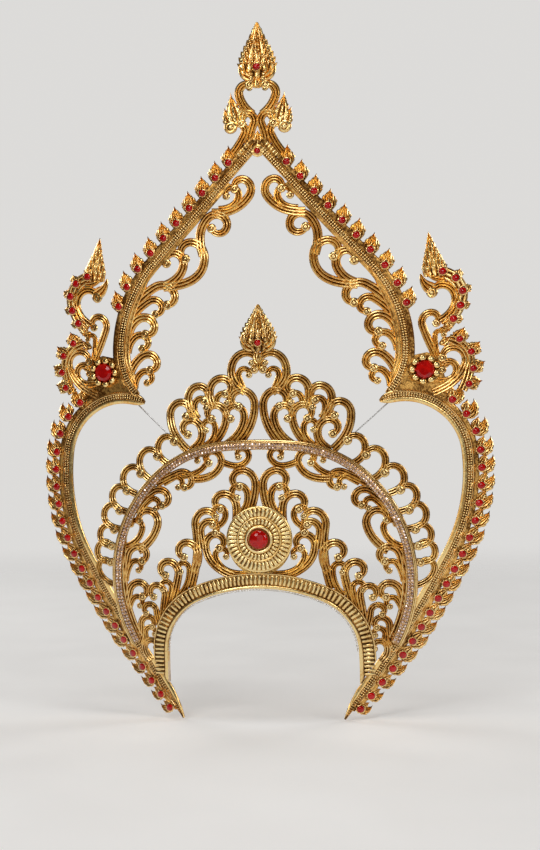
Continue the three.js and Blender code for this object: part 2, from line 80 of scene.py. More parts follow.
camera_data = bpy.data.cameras.new("camera")
camera_data.lens = LENS
camera_data.sensor_width = SENSOR
camera = bpy.data.objects.new("camera", camera_data)
camera.location = (VIEW_DISTANCE * math.sin(VIEW_TURN), -VIEW_DISTANCE * math.cos(VIEW_TURN), VIEW_HEIGHT)
aim = Matrix.Rotation(VIEW_TURN - VIEW_PAN, 3, "Z") @ Matrix.Rotation(math.pi / 2 + VIEW_TILT, 3, "X")
camera.rotation_euler = (aim @ Matrix.Rotation(VIEW_ROLL, 3, "Z")).to_euler()
bpy.context.scene.collection.objects.link(camera)
bpy.context.scene.camera = camera
print("camera at", [round(v, 3) for v in camera.location])

# %% [markdown]
# ## From a flat drawing to a bent front
# A goldsmith saws and casts such openwork flat, and then bends it round the head. The lesson does the
# same. Every piece is drawn flat in millimetres, with X across, Z up and the front towards -Y, and one
# formula bends it. The radius grows from the jaw upwards, and what lies further back is spread, as it is
# in the solids.

# %% The bend
MM = 0.001
BEND_JAW, BEND_TOP, BEND_RISE = 125, 325, 150
EYE_DISTANCE, EYE_HEIGHT = 1600, 117


def bent(points):
    """Flat points in millimetres, bent back round the head and given in metres."""
    x, y, z = points.T
    share = np.clip(z / BEND_RISE, 0, 1)
    share = share * share * (3 - 2 * share)
    back = y + x ** 2 / (2 * (BEND_JAW + (BEND_TOP - BEND_JAW) * share))
    spread = 1 + back / EYE_DISTANCE
    return MM * np.column_stack((x * spread, back, EYE_HEIGHT + (z - EYE_HEIGHT) * spread))


print("a point 150 mm out at the brow lies", round(bent(np.array([[150, 0, 117]]))[0, 1], 3), "m back")

# %% [markdown]
# ## Courses
# Rails, arch and band follow smooth lines. Each line could be a curve object. Here it is a course: a
# start, a heading and a few round runs, each with a length and a turn in degrees. A course answers with
# the place and heading at any distance, so ribs, beads and leaves can be set out along it. Plane places
# are complex numbers, x + z * 1j.


# %% Courses
def walked(place, heading, run, turn):
    """Place and heading after a run along a circle arc, or a straight line where there is no turn."""
    if abs(turn) < 1e-9:
        return place + run * cmath.exp(1j * heading), heading
    end = heading + turn
    chord = complex(math.sin(end) - math.sin(heading), math.cos(heading) - math.cos(end))
    return place + run / turn * chord, end


class Course:
    def __init__(self, start, heading, runs):
        self.legs = []
        self.length = 0
        place, heading = start, math.radians(heading)
        for run, turn in runs:
            turn = math.radians(turn)
            self.legs.append((self.length, run, turn, place, heading))
            place, heading = walked(place, heading, run, turn)
            self.length += run

    def at(self, s):
        start, run, turn, place, heading = [leg for leg in self.legs if leg[0] <= max(s, 0)][-1]
        return walked(place, heading, s - start, turn * (s - start) / run)

    def off(self, s, out):
        """Place and heading beside the course, positive to the outside."""
        place, heading = self.at(s)
        return place + out * 1j * cmath.exp(1j * heading), heading


class MirroredCourse(Course):
    """A course that runs on into the other half at negative distances."""

    def at(self, s):
        place, heading = super().at(abs(s))
        return (place, heading) if s >= 0 else (complex(-place.real, place.imag), -heading)


GABLE = Course(493.5j, -48, [(148, 0), (86.5, -42), (51, -53.5)])
SIDE = Course(106.5 + 259j, 24, [(40, -46), (61, -61), (97, -35), (152, -8), (20, 12)])
ARCH = MirroredCourse(222.5j, 0, [(32, -5), (67, -37), (171, -78), (18, -8)])
BAND = MirroredCourse(92.7j, 0, [(58, -24), (57, -64), (36, -4)])
GABLE_END = 264
ARCH_END = 268
print("gable", GABLE.length, "side", SIDE.length, "arch", ARCH.length, "band", BAND.length, "mm to a side")

# %% [markdown]
# ## Shapes as arrays
# Small shapes are modelled with bmesh operators and then kept as arrays, because a rail holds hundreds of
# beads and arrays are quickly copied, mirrored and joined. Each point also has a relief value: 0 in a
# groove and 1 on a ridge. The gilding reads it later, to paint shade with brown patina into the depths
# and to leave bright metal on what hands and cloths polish.

# %% Shapes
Shape = namedtuple("Shape", "points relief corners sizes")


def begun():
    """An empty bmesh and its relief layer."""
    bm = bmesh.new()
    return bm, bm.verts.layers.float.new("relief")


def taken(bm):
    """The finished bmesh as arrays, with its faces turned outwards."""
    bmesh.ops.recalc_face_normals(bm, faces=bm.faces)
    bm.verts.index_update()
    tone = bm.verts.layers.float["relief"]
    points = np.array([vert.co for vert in bm.verts])
    relief = np.array([vert[tone] for vert in bm.verts])
    corners = np.array([vert.index for face in bm.faces for vert in face.verts])
    sizes = np.array([len(face.verts) for face in bm.faces])
    bm.free()
    return Shape(points, relief, corners, sizes)


def joined(shapes):
    first = np.cumsum([0] + [len(shape.points) for shape in shapes])
    return Shape(
        np.concatenate([shape.points for shape in shapes]),
        np.concatenate([shape.relief for shape in shapes]),
        np.concatenate([shape.corners + start for shape, start in zip(shapes, first)]),
        np.concatenate([shape.sizes for shape in shapes]),
    )


def stamped(shape, places):
    """Copies of a shape, one at each of the 4 x 4 places."""
    places = np.array(places)
    count = len(places)
    points = np.einsum("kij,nj->kni", places[:, :3, :3], shape.points) + places[:, None, :3, 3]
    step = len(shape.points) * np.arange(count)[:, None]
    return Shape(
        points.reshape(-1, 3),
        np.tile(shape.relief, count),
        (shape.corners + step).ravel(),
        np.tile(shape.sizes, count),
    )


def mirrored(shape):
    """The shape in the other half. Each face has its corners reversed, so that it still points outwards."""
    last = np.cumsum(shape.sizes) - 1
    first = last - shape.sizes + 1
    reverse = np.repeat(first + last, shape.sizes) - np.arange(len(shape.corners))
    return Shape(shape.points * (-1, 1, 1), shape.relief, shape.corners[reverse], shape.sizes)


def both(shape):
    return joined([shape, mirrored(shape)])


print("a shape keeps", ", ".join(Shape._fields))

# %% [markdown]
# ## Setting a shape on its line
# A station is a matrix that stands a section on a line: its X runs outwards, its Y forwards and its Z
# along the line. A tendril could be a curve with a bevel, but its section has ridges and grooves of its
# own and narrows as it goes. So a ring in the form of the section is extruded from station to station,
# and each step is one transform.


# %% Stations and sweeps
SWEEP_STEP = 3
WIRE_SIDES = 8


def station(place, heading, back=0, wide=1, deep=1, long=1):
    along = cmath.exp(1j * heading)
    out = 1j * along
    return Matrix((
        (out.real * wide, 0, along.real * long, place.real),
        (0, -deep, 0, back),
        (out.imag * wide, 0, along.imag * long, place.imag),
        (0, 0, 0, 1),
    ))


def close_ends(bm):
    bmesh.ops.holes_fill(bm, edges=[edge for edge in bm.edges if edge.is_boundary], sides=0)


def swept(section, stations, cuts=(), lead=0.0):
    """Extrude a section of (across, forward, relief) rows through the stations, and saw it off at the cuts.

    A lead lets the edges of the section run ahead of its middle."""
    bm, tone = begun()
    bmesh.ops.create_circle(bm, segments=len(section), radius=1)
    for vert, (across, forward, relief) in zip(bm.verts, section):
        vert.co = (across, forward, lead * abs(across))
        vert[tone] = relief
    bmesh.ops.transform(bm, matrix=stations[0], verts=bm.verts)
    ring = bm.edges[:]
    for before, after in zip(stations, stations[1:]):
        grown = bmesh.ops.extrude_edge_only(bm, edges=ring)["geom"]
        verts = {item for item in grown if isinstance(item, bmesh.types.BMVert)}
        edges = [item for item in grown if isinstance(item, bmesh.types.BMEdge)]
        ring = [edge for edge in edges if verts.issuperset(edge.verts)]
        bmesh.ops.transform(bm, matrix=after @ before.inverted(), verts=list(verts))
    close_ends(bm)
    for place, heading in cuts:
        away = cmath.exp(1j * heading)
        bmesh.ops.bisect_plane(
            bm, geom=bm.verts[:] + bm.edges[:] + bm.faces[:], clear_outer=True,
            plane_co=(place.real, 0, place.imag), plane_no=(away.real, 0, away.imag),
        )
        close_ends(bm)
    return taken(bm)


def along_course(course, section, start, end, taper=None, cuts=()):
    """Sweep a section of true offsets and depths along a course."""
    stations = []
    for s in np.linspace(start, end, max(2, round((end - start) / SWEEP_STEP) + 1)):
        place, heading = course.at(s)
        stations.append(station(place, heading, wide=taper(s) if taper else 1))
    return swept(section, stations, cuts)


def wire_section(radius, out=0.0, forward=0.0):
    """Round section of a wire, at an offset and a depth from its course."""
    turns = np.arange(WIRE_SIDES) * 2 * math.pi / WIRE_SIDES
    return [(out + radius * math.cos(a), forward + radius * math.sin(a), 1) for a in turns]


def seat(course, s, out, back, size=1):
    """Place for a small shape beside a course."""
    place, heading = course.off(s, out)
    return station(place, heading, back, size, size, size)


def facing(place, back, radius=1, deep=None):
    """Place for a turned shape that faces the front."""
    return station(place, 0, back, radius, radius if deep is None else deep, radius)


print("a straight wire has", len(along_course(GABLE, wire_section(1), 0, 100).sizes), "faces in 100 mm")

# %% [markdown]
# ## Small round shapes
# Beads, collets, claws and stones are turned work, so they are spun: a profile of (radius, forward,
# relief) rows goes once round its axis. Ribs are bars, so they start as a cube whose front edges are
# bevelled.


# %% Beads, ribs and turned shapes
# A dome's foot gets a low relief, which paints shade where it meets what it stands on.
DOME_FOOT_SHADE = 0.25
RIB_ROUNDING = 0.44


def turned(profile, steps):
    bm, tone = begun()
    verts = []
    for radius, forward, relief in profile:
        verts.append(bm.verts.new((radius, forward, 0)))
        verts[-1][tone] = relief
    edges = [bm.edges.new(ends) for ends in zip(verts, verts[1:])]
    bmesh.ops.spin(
        bm, geom=verts + edges, cent=(0, 0, 0), axis=(0, 1, 0), angle=2 * math.pi, steps=steps,
        use_merge=True,
    )
    bmesh.ops.remove_doubles(bm, verts=bm.verts, dist=1e-4)
    return taken(bm)


def dome(rings, steps):
    """A half ball of radius 1, with painted shade at its foot."""
    angles = np.linspace(0, math.pi / 2, rings + 1)
    profile = [(math.sin(a), math.cos(a), DOME_FOOT_SHADE + (1 - DOME_FOOT_SHADE) * math.cos(a)) for a in angles]
    return turned([*profile, (0, 0, DOME_FOOT_SHADE)], steps)


def ball():
    """A ball of radius 1, bright all over."""
    bm, tone = begun()
    bmesh.ops.create_icosphere(bm, subdivisions=2, radius=1)
    for vert in bm.verts:
        vert[tone] = 1
    return taken(bm)


def rib(across, along, height):
    """A bar with rounded front edges: painted shade at its foot, and bright on its crown."""
    bm, tone = begun()
    bmesh.ops.create_cube(bm, size=1)
    bmesh.ops.translate(bm, vec=(0, 0.5, 0), verts=bm.verts)
    bmesh.ops.scale(bm, vec=(across, height, along), verts=bm.verts)
    raised = [edge for edge in bm.edges if sum(vert.co.y for vert in edge.verts) > 0.5 * height]
    rounding = RIB_ROUNDING * min(across, along, 2 * height)
    bmesh.ops.bevel(
        bm, geom=raised, offset=rounding, segments=2, profile=0.5, affect="EDGES", material=-1,
    )
    # Relief grows with height, so the gilding paints shade at the foot of the bar.
    for vert in bm.verts:
        vert[tone] = min(1, max(0, vert.co.y / height)) ** 0.7
    return taken(bm)


UNIT_BALL = ball()
print("a ball has", len(UNIT_BALL.sizes), "faces")

# %% [markdown]
# ## Gilding
# The metal is gilt brass. Its ridges are bright and warm, and the grooves are dark brown: partly patina
# and partly painted shade. A flat gold colour would lose all the casting detail, so one node group mixes
# three tones by the relief value, which paints that shade into the depths, breaks them up with noise, and
# gives the grain of the casting. The tiara, the surround and the rosette use it with their own colours.

# %% Node helpers
def made_node(tree, kind, **settings):
    node = tree.nodes.new(kind)
    for name, value in settings.items():
        setattr(node, name, value)
    return node


def joined_nodes(tree, *pairs):
    for output, socket in pairs:
        tree.links.new(output, socket)


def mix_colours(tree, factor, low, high):
    """A colour mix, whose inputs are sockets or plain colours."""
    mix = made_node(tree, "ShaderNodeMix", data_type="RGBA")
    for socket, value in ((mix.inputs[0], factor), (mix.inputs[6], low), (mix.inputs[7], high)):
        if isinstance(value, bpy.types.NodeSocket):
            tree.links.new(value, socket)
        else:
            socket.default_value = value
    return mix.outputs[2]


def noise(tree, coordinates, scale, detail=2):
    """Noise on Object coordinates, with its scale in lumps a metre."""
    node = made_node(tree, "ShaderNodeTexNoise")
    node.inputs["Scale"].default_value = scale
    node.inputs["Detail"].default_value = detail
    tree.links.new(coordinates, node.inputs["Vector"])
    return node.outputs["Fac"]


def ranged(tree, value, low, high, to_low, to_high):
    node = made_node(tree, "ShaderNodeMapRange", interpolation_type="SMOOTHSTEP")
    for name, number in zip(("From Min", "From Max", "To Min", "To Max"), (low, high, to_low, to_high)):
        node.inputs[name].default_value = number
    tree.links.new(value, node.inputs["Value"])
    return node.outputs["Result"]


def maths(tree, operation, first, second):
    node = made_node(tree, "ShaderNodeMath", operation=operation)
    for socket, value in zip(node.inputs, (first, second)):
        if isinstance(value, bpy.types.NodeSocket):
            tree.links.new(value, socket)
        else:
            socket.default_value = value
    return node.outputs[0]


# %% Toned gilding
PATCH_SCALE, SPECK_SCALE, GRAIN_SCALE = 55, 420, 900
MID_RANGE, BRIGHT_RANGE = (0.11, 0.63), (0.55, 1.02)
GRAIN_STRENGTH, GRAIN_DEPTH = 0.35, 0.25


def gilding_with_painted_shade():
    tree = bpy.data.node_groups.new("Gilding with patina and painted shade", "ShaderNodeTree")
    for name in ("Bright", "Mid", "Recess patina and shade"):
        tree.interface.new_socket(name, in_out="INPUT", socket_type="NodeSocketColor")
    tree.interface.new_socket("Polish", in_out="INPUT", socket_type="NodeSocketFloat")
    tree.interface.new_socket("Color", in_out="OUTPUT", socket_type="NodeSocketColor")
    for name in ("Roughness", "Height"):
        tree.interface.new_socket(name, in_out="OUTPUT", socket_type="NodeSocketFloat")
    given = made_node(tree, "NodeGroupInput").outputs
    result = made_node(tree, "NodeGroupOutput").inputs
    coordinates = made_node(tree, "ShaderNodeTexCoord").outputs["Object"]
    relief = made_node(tree, "ShaderNodeAttribute", attribute_name="relief").outputs["Fac"]
    patches = noise(tree, coordinates, PATCH_SCALE)
    specks = noise(tree, coordinates, SPECK_SCALE, detail=4)
    broad = ranged(tree, patches, 0.3, 0.7, -0.16, 0.14)
    fine = ranged(tree, specks, 0.3, 0.7, -0.16, 0.16)
    # Low relief mixes in the recess colour, which paints shade into the grooves along with brown patina.
    level = maths(tree, "ADD", relief, maths(tree, "ADD", broad, fine))
    recess_shaded = mix_colours(tree, ranged(tree, level, *MID_RANGE, 0, 1), given["Recess patina and shade"], given["Mid"])
    colour = mix_colours(tree, ranged(tree, level, *BRIGHT_RANGE, 0, 1), recess_shaded, given["Bright"])
    deep_dull = ranged(tree, level, 0, 0.9, 0.3, 0)
    dull = maths(tree, "ADD", deep_dull, ranged(tree, specks, 0.25, 0.75, -0.05, 0.07))
    joined_nodes(
        tree,
        (colour, result["Color"]),
        (maths(tree, "ADD", dull, given["Polish"]), result["Roughness"]),
        (noise(tree, coordinates, GRAIN_SCALE, detail=5), result["Height"]),
    )
    return tree


GILDING = gilding_with_painted_shade()


def gilt(name, bright, mid, recess_patina_shade, polish):
    material = bpy.data.materials.new(name)
    material.use_nodes = True
    tree = material.node_tree
    shader = tree.nodes["Principled BSDF"]
    shader.inputs["Metallic"].default_value = 1
    group = made_node(tree, "ShaderNodeGroup", node_tree=GILDING)
    for socket, value in zip(group.inputs, (bright, mid, recess_patina_shade, polish)):
        socket.default_value = value
    bump = made_node(tree, "ShaderNodeBump")
    bump.inputs["Strength"].default_value = GRAIN_STRENGTH
    bump.inputs["Distance"].default_value = GRAIN_DEPTH * MM
    joined_nodes(
        tree,
        (group.outputs["Color"], shader.inputs["Base Color"]),
        (group.outputs["Roughness"], shader.inputs["Roughness"]),
        (group.outputs["Height"], bump.inputs["Height"]),
        (bump.outputs["Normal"], shader.inputs["Normal"]),
    )
    return material


# The third colour of each gilt is its recess tone: brown patina together with painted shade.
TIARA_GILT = gilt("tiara_gilt", (0.93, 0.71, 0.33, 1), (0.7, 0.4, 0.115, 1), (0.095, 0.034, 0.006, 1), 0.21)
SURROUND_GILT = gilt(
    "surround_gilt", (1.0, 0.75, 0.33, 1), (0.88, 0.49, 0.13, 1), (0.12, 0.043, 0.007, 1), 0.22,
)
ROSETTE_GILT = gilt("rosette_gilt", (1.0, 0.8, 0.4, 1), (0.86, 0.55, 0.17, 1), (0.2, 0.085, 0.018, 1), 0.24)
print("gilt finishes:", TIARA_GILT.name, SURROUND_GILT.name, ROSETTE_GILT.name)

# %% [markdown]
# ## Stones, silver and wire
# The stones are red glass on a dark foil. Clear glass would need a foil modelled behind each of the small
# ones, so the body is coloured and lets only a little light through, under a polished coat. The chain has
# pale stones in silvered cups, the bead edging is bright silver, and the stays are drawn steel. Noise
# breaks up each of them.


# %% Stone and silver materials
def finish(name, low, high, scale, rough, metallic=0.0, **plain):
    """A Principled finish with noise in its colour and roughness. Plain values go on the shader."""
    material = bpy.data.materials.new(name)
    material.use_nodes = True
    tree = material.node_tree
    shader = tree.nodes["Principled BSDF"]
    shader.inputs["Metallic"].default_value = metallic
    for socket, value in plain.items():
        shader.inputs[socket.replace("_", " ")].default_value = value
    coordinates = made_node(tree, "ShaderNodeTexCoord").outputs["Object"]
    cloud = noise(tree, coordinates, scale)
    joined_nodes(
        tree,
        (mix_colours(tree, ranged(tree, cloud, 0.3, 0.7, 0, 1), low, high), shader.inputs["Base Color"]),
        (ranged(tree, noise(tree, coordinates, 4 * scale), 0.3, 0.7, *rough), shader.inputs["Roughness"]),
    )
    return material


RED_GLASS = finish(
    "red_glass", (0.4, 0.001, 0.0006, 1), (0.66, 0.005, 0.002, 1), 160, (0.04, 0.1),
    IOR=1.42, Coat_Weight=0.12, Coat_Roughness=0.04, Transmission_Weight=0.15,
)
CHAIN_STONE = finish(
    "chain_stone", (0.42, 0.24, 0.2, 1), (0.98, 0.84, 0.76, 1), 420, (0.03, 0.16), 0.7,
    IOR=1.6, Coat_Weight=1.0,
)
CUP_SILVER = finish("cup_silver", (0.46, 0.26, 0.12, 1), (0.9, 0.64, 0.36, 1), 320, (0.18, 0.36), 1.0)
BEAD_SILVER = finish("bead_silver", (0.62, 0.61, 0.59, 1), (0.86, 0.85, 0.83, 1), 240, (0.08, 0.2), 1.0)
STAY_STEEL = finish("stay_steel", (0.5, 0.49, 0.48, 1), (0.68, 0.67, 0.65, 1), 90, (0.3, 0.45), 1.0)
print("stones:", RED_GLASS.name, CHAIN_STONE.name)
print("plain metals:", CUP_SILVER.name, BEAD_SILVER.name, STAY_STEEL.name)

# %% [markdown]
# ## From a shape to a piece
# A piece is bent, made an object at the origin, given its finish and tied to the frame: it rides with the
# one rigid body and stands for its solid. Most pieces come as a right and a left.


# %% Pieces
SHARP = 55


def piece(name, shape, material, nodes=(), sharp=SHARP):
    mesh = bpy.data.meshes.new(name)
    mesh.vertices.add(len(shape.points))
    mesh.vertices.foreach_set("co", bent(shape.points).astype(np.float32).ravel())
    mesh.loops.add(len(shape.corners))
    mesh.loops.foreach_set("vertex_index", shape.corners.astype(np.int32))
    mesh.polygons.add(len(shape.sizes))
    mesh.polygons.foreach_set("loop_start", (np.cumsum(shape.sizes) - shape.sizes).astype(np.int32))
    mesh.update(calc_edges=True)
    mesh.validate()
    relief = mesh.attributes.new("relief", "FLOAT", "POINT")
    relief.data.foreach_set("value", shape.relief.astype(np.float32))
    mesh.shade_smooth()
    mesh.set_sharp_from_angle(angle=math.radians(sharp))
    mesh.materials.append(material)
    made = bpy.data.objects.new(name, mesh)
    bpy.context.scene.collection.objects.link(made)
    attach(made, "root")
    if nodes:
        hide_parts(*nodes)
    print(name, len(mesh.polygons), "faces")


def pair(node, shape, material, sharp=SHARP):
    """The right piece and its mirror image, in the place of the two solids of that name."""
    piece(f"worked_{node}_right", shape, material, [f"{node}_right"], sharp)
    piece(f"worked_{node}_left", mirrored(shape), material, [f"{node}_left"], sharp)


# %% [markdown]
# ## Tendrils
# A tendril rises from its foot, turns at its bend and curls round its eye. Its cast section has three
# round ridges with grooves between them, which the gilding darkens with patina and painted shade, and it
# ends in a knob. It could be a curve drawn by hand.
# Here a table has one row a tendril, as a maker's pattern has: the stem is a bowed line, and the curl is
# a spiral whose radius eases in.

# %% Tendrils
Scroll = namedtuple("Scroll", "foot_x foot_z bend_x bend_z eye_x eye_z sweep close", defaults=[0.3])
BACK_RELIEF = 0.5
FOOT_WIDTH, TIP_WIDTH = 8.2, 7.0
TENDRIL_RIDGES = 3
KNOB_SHARE, KNOB_RISE = 0.58, 0.7
SMALL_SHARE, SHARE_GROWTH = 0.45, 0.045
TIP_SHARE, TIP_LOSS = 0.75, 0.12
GROOVE, EDGE_RELIEF = 0.36, 0.4
STEM_STEP = 2.5
CURL_STEPS = 22
SCROLL_LAYER, BROW_LAYER, STRIP_LAYER = (-2.9, 0), (-4.7, -1.7), (1, 4)
KNOB = turned([
    (0, 1, 1), (0.28, 0.97, 1), (0.42, 0.7, 0.1), (0.56, 0.88, 0.8), (0.78, 0.84, 1),
    (1, 0.4, 0.5), (1, 0, 0.4), (0, 0, 0.4),
], 14)


def scrolls(rows):
    return [Scroll(*row) for row in rows]


def ridged(count, crown=0.0, back_half=0.85):
    """Section of round ridges side by side on a flat back. A crown lowers the outer ridges."""
    rows = [(-back_half, 0, BACK_RELIEF)]
    steps = 4 * count
    for i in range(steps + 1):
        across = 2 * i / steps - 1
        ridge = abs(math.sin(math.pi * i / 4))
        forward = (GROOVE + (1 - GROOVE) * ridge) * (1 - crown * across ** 2)
        # Relief 0 in the grooves makes the gilding paint shade there, with patina.
        rows.append((across, forward, ridge if 0 < i < steps else EDGE_RELIEF))
    return [*rows, (back_half, 0, BACK_RELIEF)]


def tendril_line(row, tip):
    """Places along the middle of a tendril: a bowed stem, and a curl that closes in on its eye."""
    foot = complex(row.foot_x, row.foot_z)
    bend = complex(row.bend_x, row.bend_z)
    eye = complex(row.eye_x, row.eye_z)
    first, start = cmath.polar(bend - eye)
    last = max(row.close * first, TIP_SHARE * tip)

    def curl(t):
        return eye + cmath.rect(last + (first - last) * (1 - t) ** 2, start + math.radians(row.sweep) * t)

    arrive = curl(0.01) - curl(0)
    knee = bend - 0.5 * abs(foot - bend) * arrive / abs(arrive)
    steps = max(4, round(abs(foot - bend) / STEM_STEP))
    stem = [(1 - t) ** 2 * foot + 2 * t * (1 - t) * knee + t * t * bend for t in np.linspace(0, 1, steps + 1)]
    return stem + [curl(t) for t in np.linspace(0, 1, CURL_STEPS + 1)[1:]]


def headings_of(line):
    ahead = line[1:] + line[-1:]
    behind = line[:1] + line[:-1]
    return [cmath.phase(b - a) for a, b in zip(behind, ahead)]


def tendril(row, layer, widths=(FOOT_WIDTH, TIP_WIDTH), knob=KNOB_SHARE):
    """A tendril between two depths. A small curl is narrower than a large one."""
    front, back = layer
    share = min(1, SMALL_SHARE + SHARE_GROWTH * math.hypot(row.bend_x - row.eye_x, row.bend_z - row.eye_z))
    line = tendril_line(row, widths[1] * share)
    headings = headings_of(line)
    stations = []
    for place, heading, t in zip(line, headings, np.linspace(0, 1, len(line))):
        half = 0.5 * share * np.interp(t, (0, 0.75, 1), (widths[0], widths[1], TIP_SHARE * widths[1]))
        stations.append(station(place, heading, back, half, (back - front) * (1 - TIP_LOSS * t)))
    size = knob * widths[1] * share
    end = station(line[-1], headings[-1], back, size, back - front + KNOB_RISE, size)
    return joined([swept(ridged(TENDRIL_RIDGES), stations), stamped(KNOB, [end])])


def tendrils(rows, layer, **options):
    return joined([tendril(row, layer, **options) for row in rows])


print("a tendril has", len(tendril(Scroll(0, 0, 9, 22, 0, 27, 260), STRIP_LAYER).sizes), "faces")

# %% [markdown]
# ## Strips behind the scrolls
# The feet of the tendrils are soldered to a thin strip, and some grow from a stem beside their rail. Both
# could be bevelled curves. Here a section is swept along a course between two offsets, so a strip ends
# where its rail begins. A stem has two ridges, comes out from under its rail and goes back under it.


# %% Strips
STEM_HIDDEN = 0.45
STRIP_EDGE, STRIP_SHINE = 0.4, 0.2


def strip_section(low, high, front, back, relief=0.45):
    """Bevelled bar between two offsets and two depths, with depths given towards the back."""
    return [
        (low, -back, BACK_RELIEF),
        (low, -front - STRIP_EDGE, relief),
        (low + STRIP_EDGE, -front, relief + STRIP_SHINE),
        (high - STRIP_EDGE, -front, relief + STRIP_SHINE),
        (high, -front - STRIP_EDGE, relief),
        (high, -back, BACK_RELIEF),
    ]


def ribbon_section(low, high, layer, ridges):
    """A ridged section between two offsets and two depths."""
    front, back = layer
    middle, half = 0.5 * (low + high), 0.5 * (high - low)
    rows = []
    for across, forward, relief in ridged(ridges):
        rows.append((middle + half * across, (back - front) * forward - back, relief))
    return rows


def stem_ribbon(course, offsets, layer, reach, ease):
    """A ribbon of two ridges that comes out from under its course and goes back under it."""
    start, end = reach
    rise, fall = ease

    def taper(s):
        return np.interp(s, (start, start + rise, end - fall, end), (STEM_HIDDEN, 1, 1, STEM_HIDDEN))

    return along_course(course, ribbon_section(*offsets, layer, 2), start, end, taper=taper)


print("a strip section has", len(strip_section(0, 4, *STRIP_LAYER)), "corners")

# %% [markdown]
# ## Crest, loops and inner scrolls
# These three sets of tendrils make the open lace of the tiara, above, along and inside its arch. They
# could be drawn curl by curl, but rows of a table keep one hand in all of them, as one caster's work has.
# The lowest of the inner ones grow from a stem.

# %% Tiara scrolls
GAP = 0.3
ARCH_HALF = 4
CREST_END = 78
INNER_START = 3
OUTSIDE_ARCH, INSIDE_ARCH = (GAP / 2, ARCH_HALF), (-ARCH_HALF, -GAP / 2)
INNER_STEM, INNER_STEM_REACH, INNER_STEM_EASE = (-9.6, -3.6), (165, ARCH_END), (30, 1)
CREST = scrolls([
    (12, 269.5, 25, 290.5, 7, 294.5, 250),
    (12.5, 269, 18, 282.5, 12.5, 286, 230),
    (20, 222, 3.8, 256.5, 18.5, 261.5, -290),
    (30, 222, 13.5, 245.5, 24, 250, -270),
    (46.5, 220, 30, 245, 41.5, 250, -270),
    (54.5, 218, 40, 237.5, 47, 238.5, -250),
    (63.5, 216, 52.5, 235, 64.5, 236, -260),
    (41.5, 255.5, 45, 271, 31.5, 273, 270),
    (40.5, 254.5, 38.5, 263.5, 31.5, 263, 230),
    (56, 245, 65, 261.5, 52.5, 266.5, 270),
    (56, 245, 59.5, 256.5, 51.5, 258, 230),
    (66, 217, 82, 248.5, 69.5, 252, 260),
])
LOOPS = scrolls([
    (84.5, 204.5, 94, 217, 82.5, 223, 185, 0.34),
    (101.5, 190, 111.5, 205, 99, 210.5, 195, 0.34),
    (114.5, 176.5, 127.5, 189.5, 115, 194.5, 195, 0.34),
    (123.5, 160, 137.5, 170, 128, 177.5, 195, 0.34),
    (128.5, 144, 146, 156.5, 135.5, 160.5, 195, 0.34),
    (132.5, 128.5, 150, 137, 140.5, 142, 188, 0.34),
    (133, 115, 153, 122.5, 143, 127, 182, 0.34),
    (133, 92.5, 151.5, 105.5, 144, 111.5, 188, 0.34),
])
INNER = scrolls([
    (34, 206.5, 11, 208, 16, 213.5, -270),
    (63, 191, 36, 202.5, 44, 209.5, -280),
    (71, 193.5, 49, 204.5, 53.5, 209, -250),
    (96, 186, 75.5, 196, 68.5, 188, 230),
    (89, 186.5, 80, 191.5, 75.5, 187, 220),
    (116.5, 160, 99, 179, 90.5, 171.5, 230),
    (111.5, 160, 102.5, 171, 97.5, 167, 220),
    (113.5, 125, 95, 147.5, 105.5, 153.5, -215, 0.6),
    (126, 128, 109.5, 144, 116, 147.5, -190, 0.6),
    (130, 96.5, 124, 119, 111.5, 120.5, 260),
    (126, 97, 121, 112.5, 115, 110.5, 230),
    (129, 69.5, 123, 87.5, 111.5, 88, 260),
    (124, 69.5, 120, 80, 114.5, 78, 230),
    (116, 40, 112.5, 56, 104.5, 59, 250),
    (111.5, 38, 108.5, 47.5, 103, 50.5, 240),
    (104, 25, 110, 36.5, 102.5, 38, 215),
])
LOOP_OPTIONS = {"widths": (7, 6), "knob": 0.74}
inner_stem = stem_ribbon(ARCH, INNER_STEM, SCROLL_LAYER, INNER_STEM_REACH, INNER_STEM_EASE)
for node, rows, offsets, reach, stems, options in (
    ("crest_scrolls", CREST, OUTSIDE_ARCH, (0, CREST_END), [], {}),
    ("arch_loops", LOOPS, OUTSIDE_ARCH, (CREST_END + GAP, ARCH_END), [], LOOP_OPTIONS),
    ("inner_scrolls", INNER, INSIDE_ARCH, (INNER_START, ARCH_END), [inner_stem], {}),
):
    backing = along_course(ARCH, strip_section(*offsets, *SCROLL_LAYER), *reach)
    pair(node, joined([backing, *stems, tendrils(rows, SCROLL_LAYER, **options)]), TIARA_GILT)

# %% [markdown]
# ## Arch and chain
# The arch is a gilt band with a broad grooved lip outside and a fine one inside. Two rows of small pale
# stones in cups run between them. Each cup and stone is turned once and stamped over three hundred times,
# so it has few faces. Separate objects would do as well, but a chain is handled as one thing.

# %% Arch and chain
ARCH_LAYER = (-6.1, -3.2)
CHAIN_BACK, CHAIN_PITCH, CHAIN_STOP = -6.4, 3.0, 2
CHAIN_ROWS = (-2.75, 0.15)
CHAIN_BED, CHAIN_BED_LAYER, CHAIN_BED_RELIEF = (-4.1, 1.6), (-6.9, -6.3), 0.1
CHAIN_TILT, CHAIN_SHARP = 0.35, 20
ARCH_SECTION = [
    (4.4, 3.2, BACK_RELIEF), (4.4, 6.4, 0.6), (4.1, 7.3, 0.95), (3.5, 7.6, 1), (2.95, 7.1, 0.2),
    (2.4, 7.6, 1), (1.9, 7.3, 0.8), (1.6, 6.4, 0.1), (-4.1, 6.4, 0.1), (-4.2, 7.2, 0.8),
    (-4.4, 7.3, 1), (-4.7, 6.5, 0.6), (-4.7, 3.2, BACK_RELIEF),
]
arch_band = along_course(ARCH, ARCH_SECTION, -ARCH_END, ARCH_END)
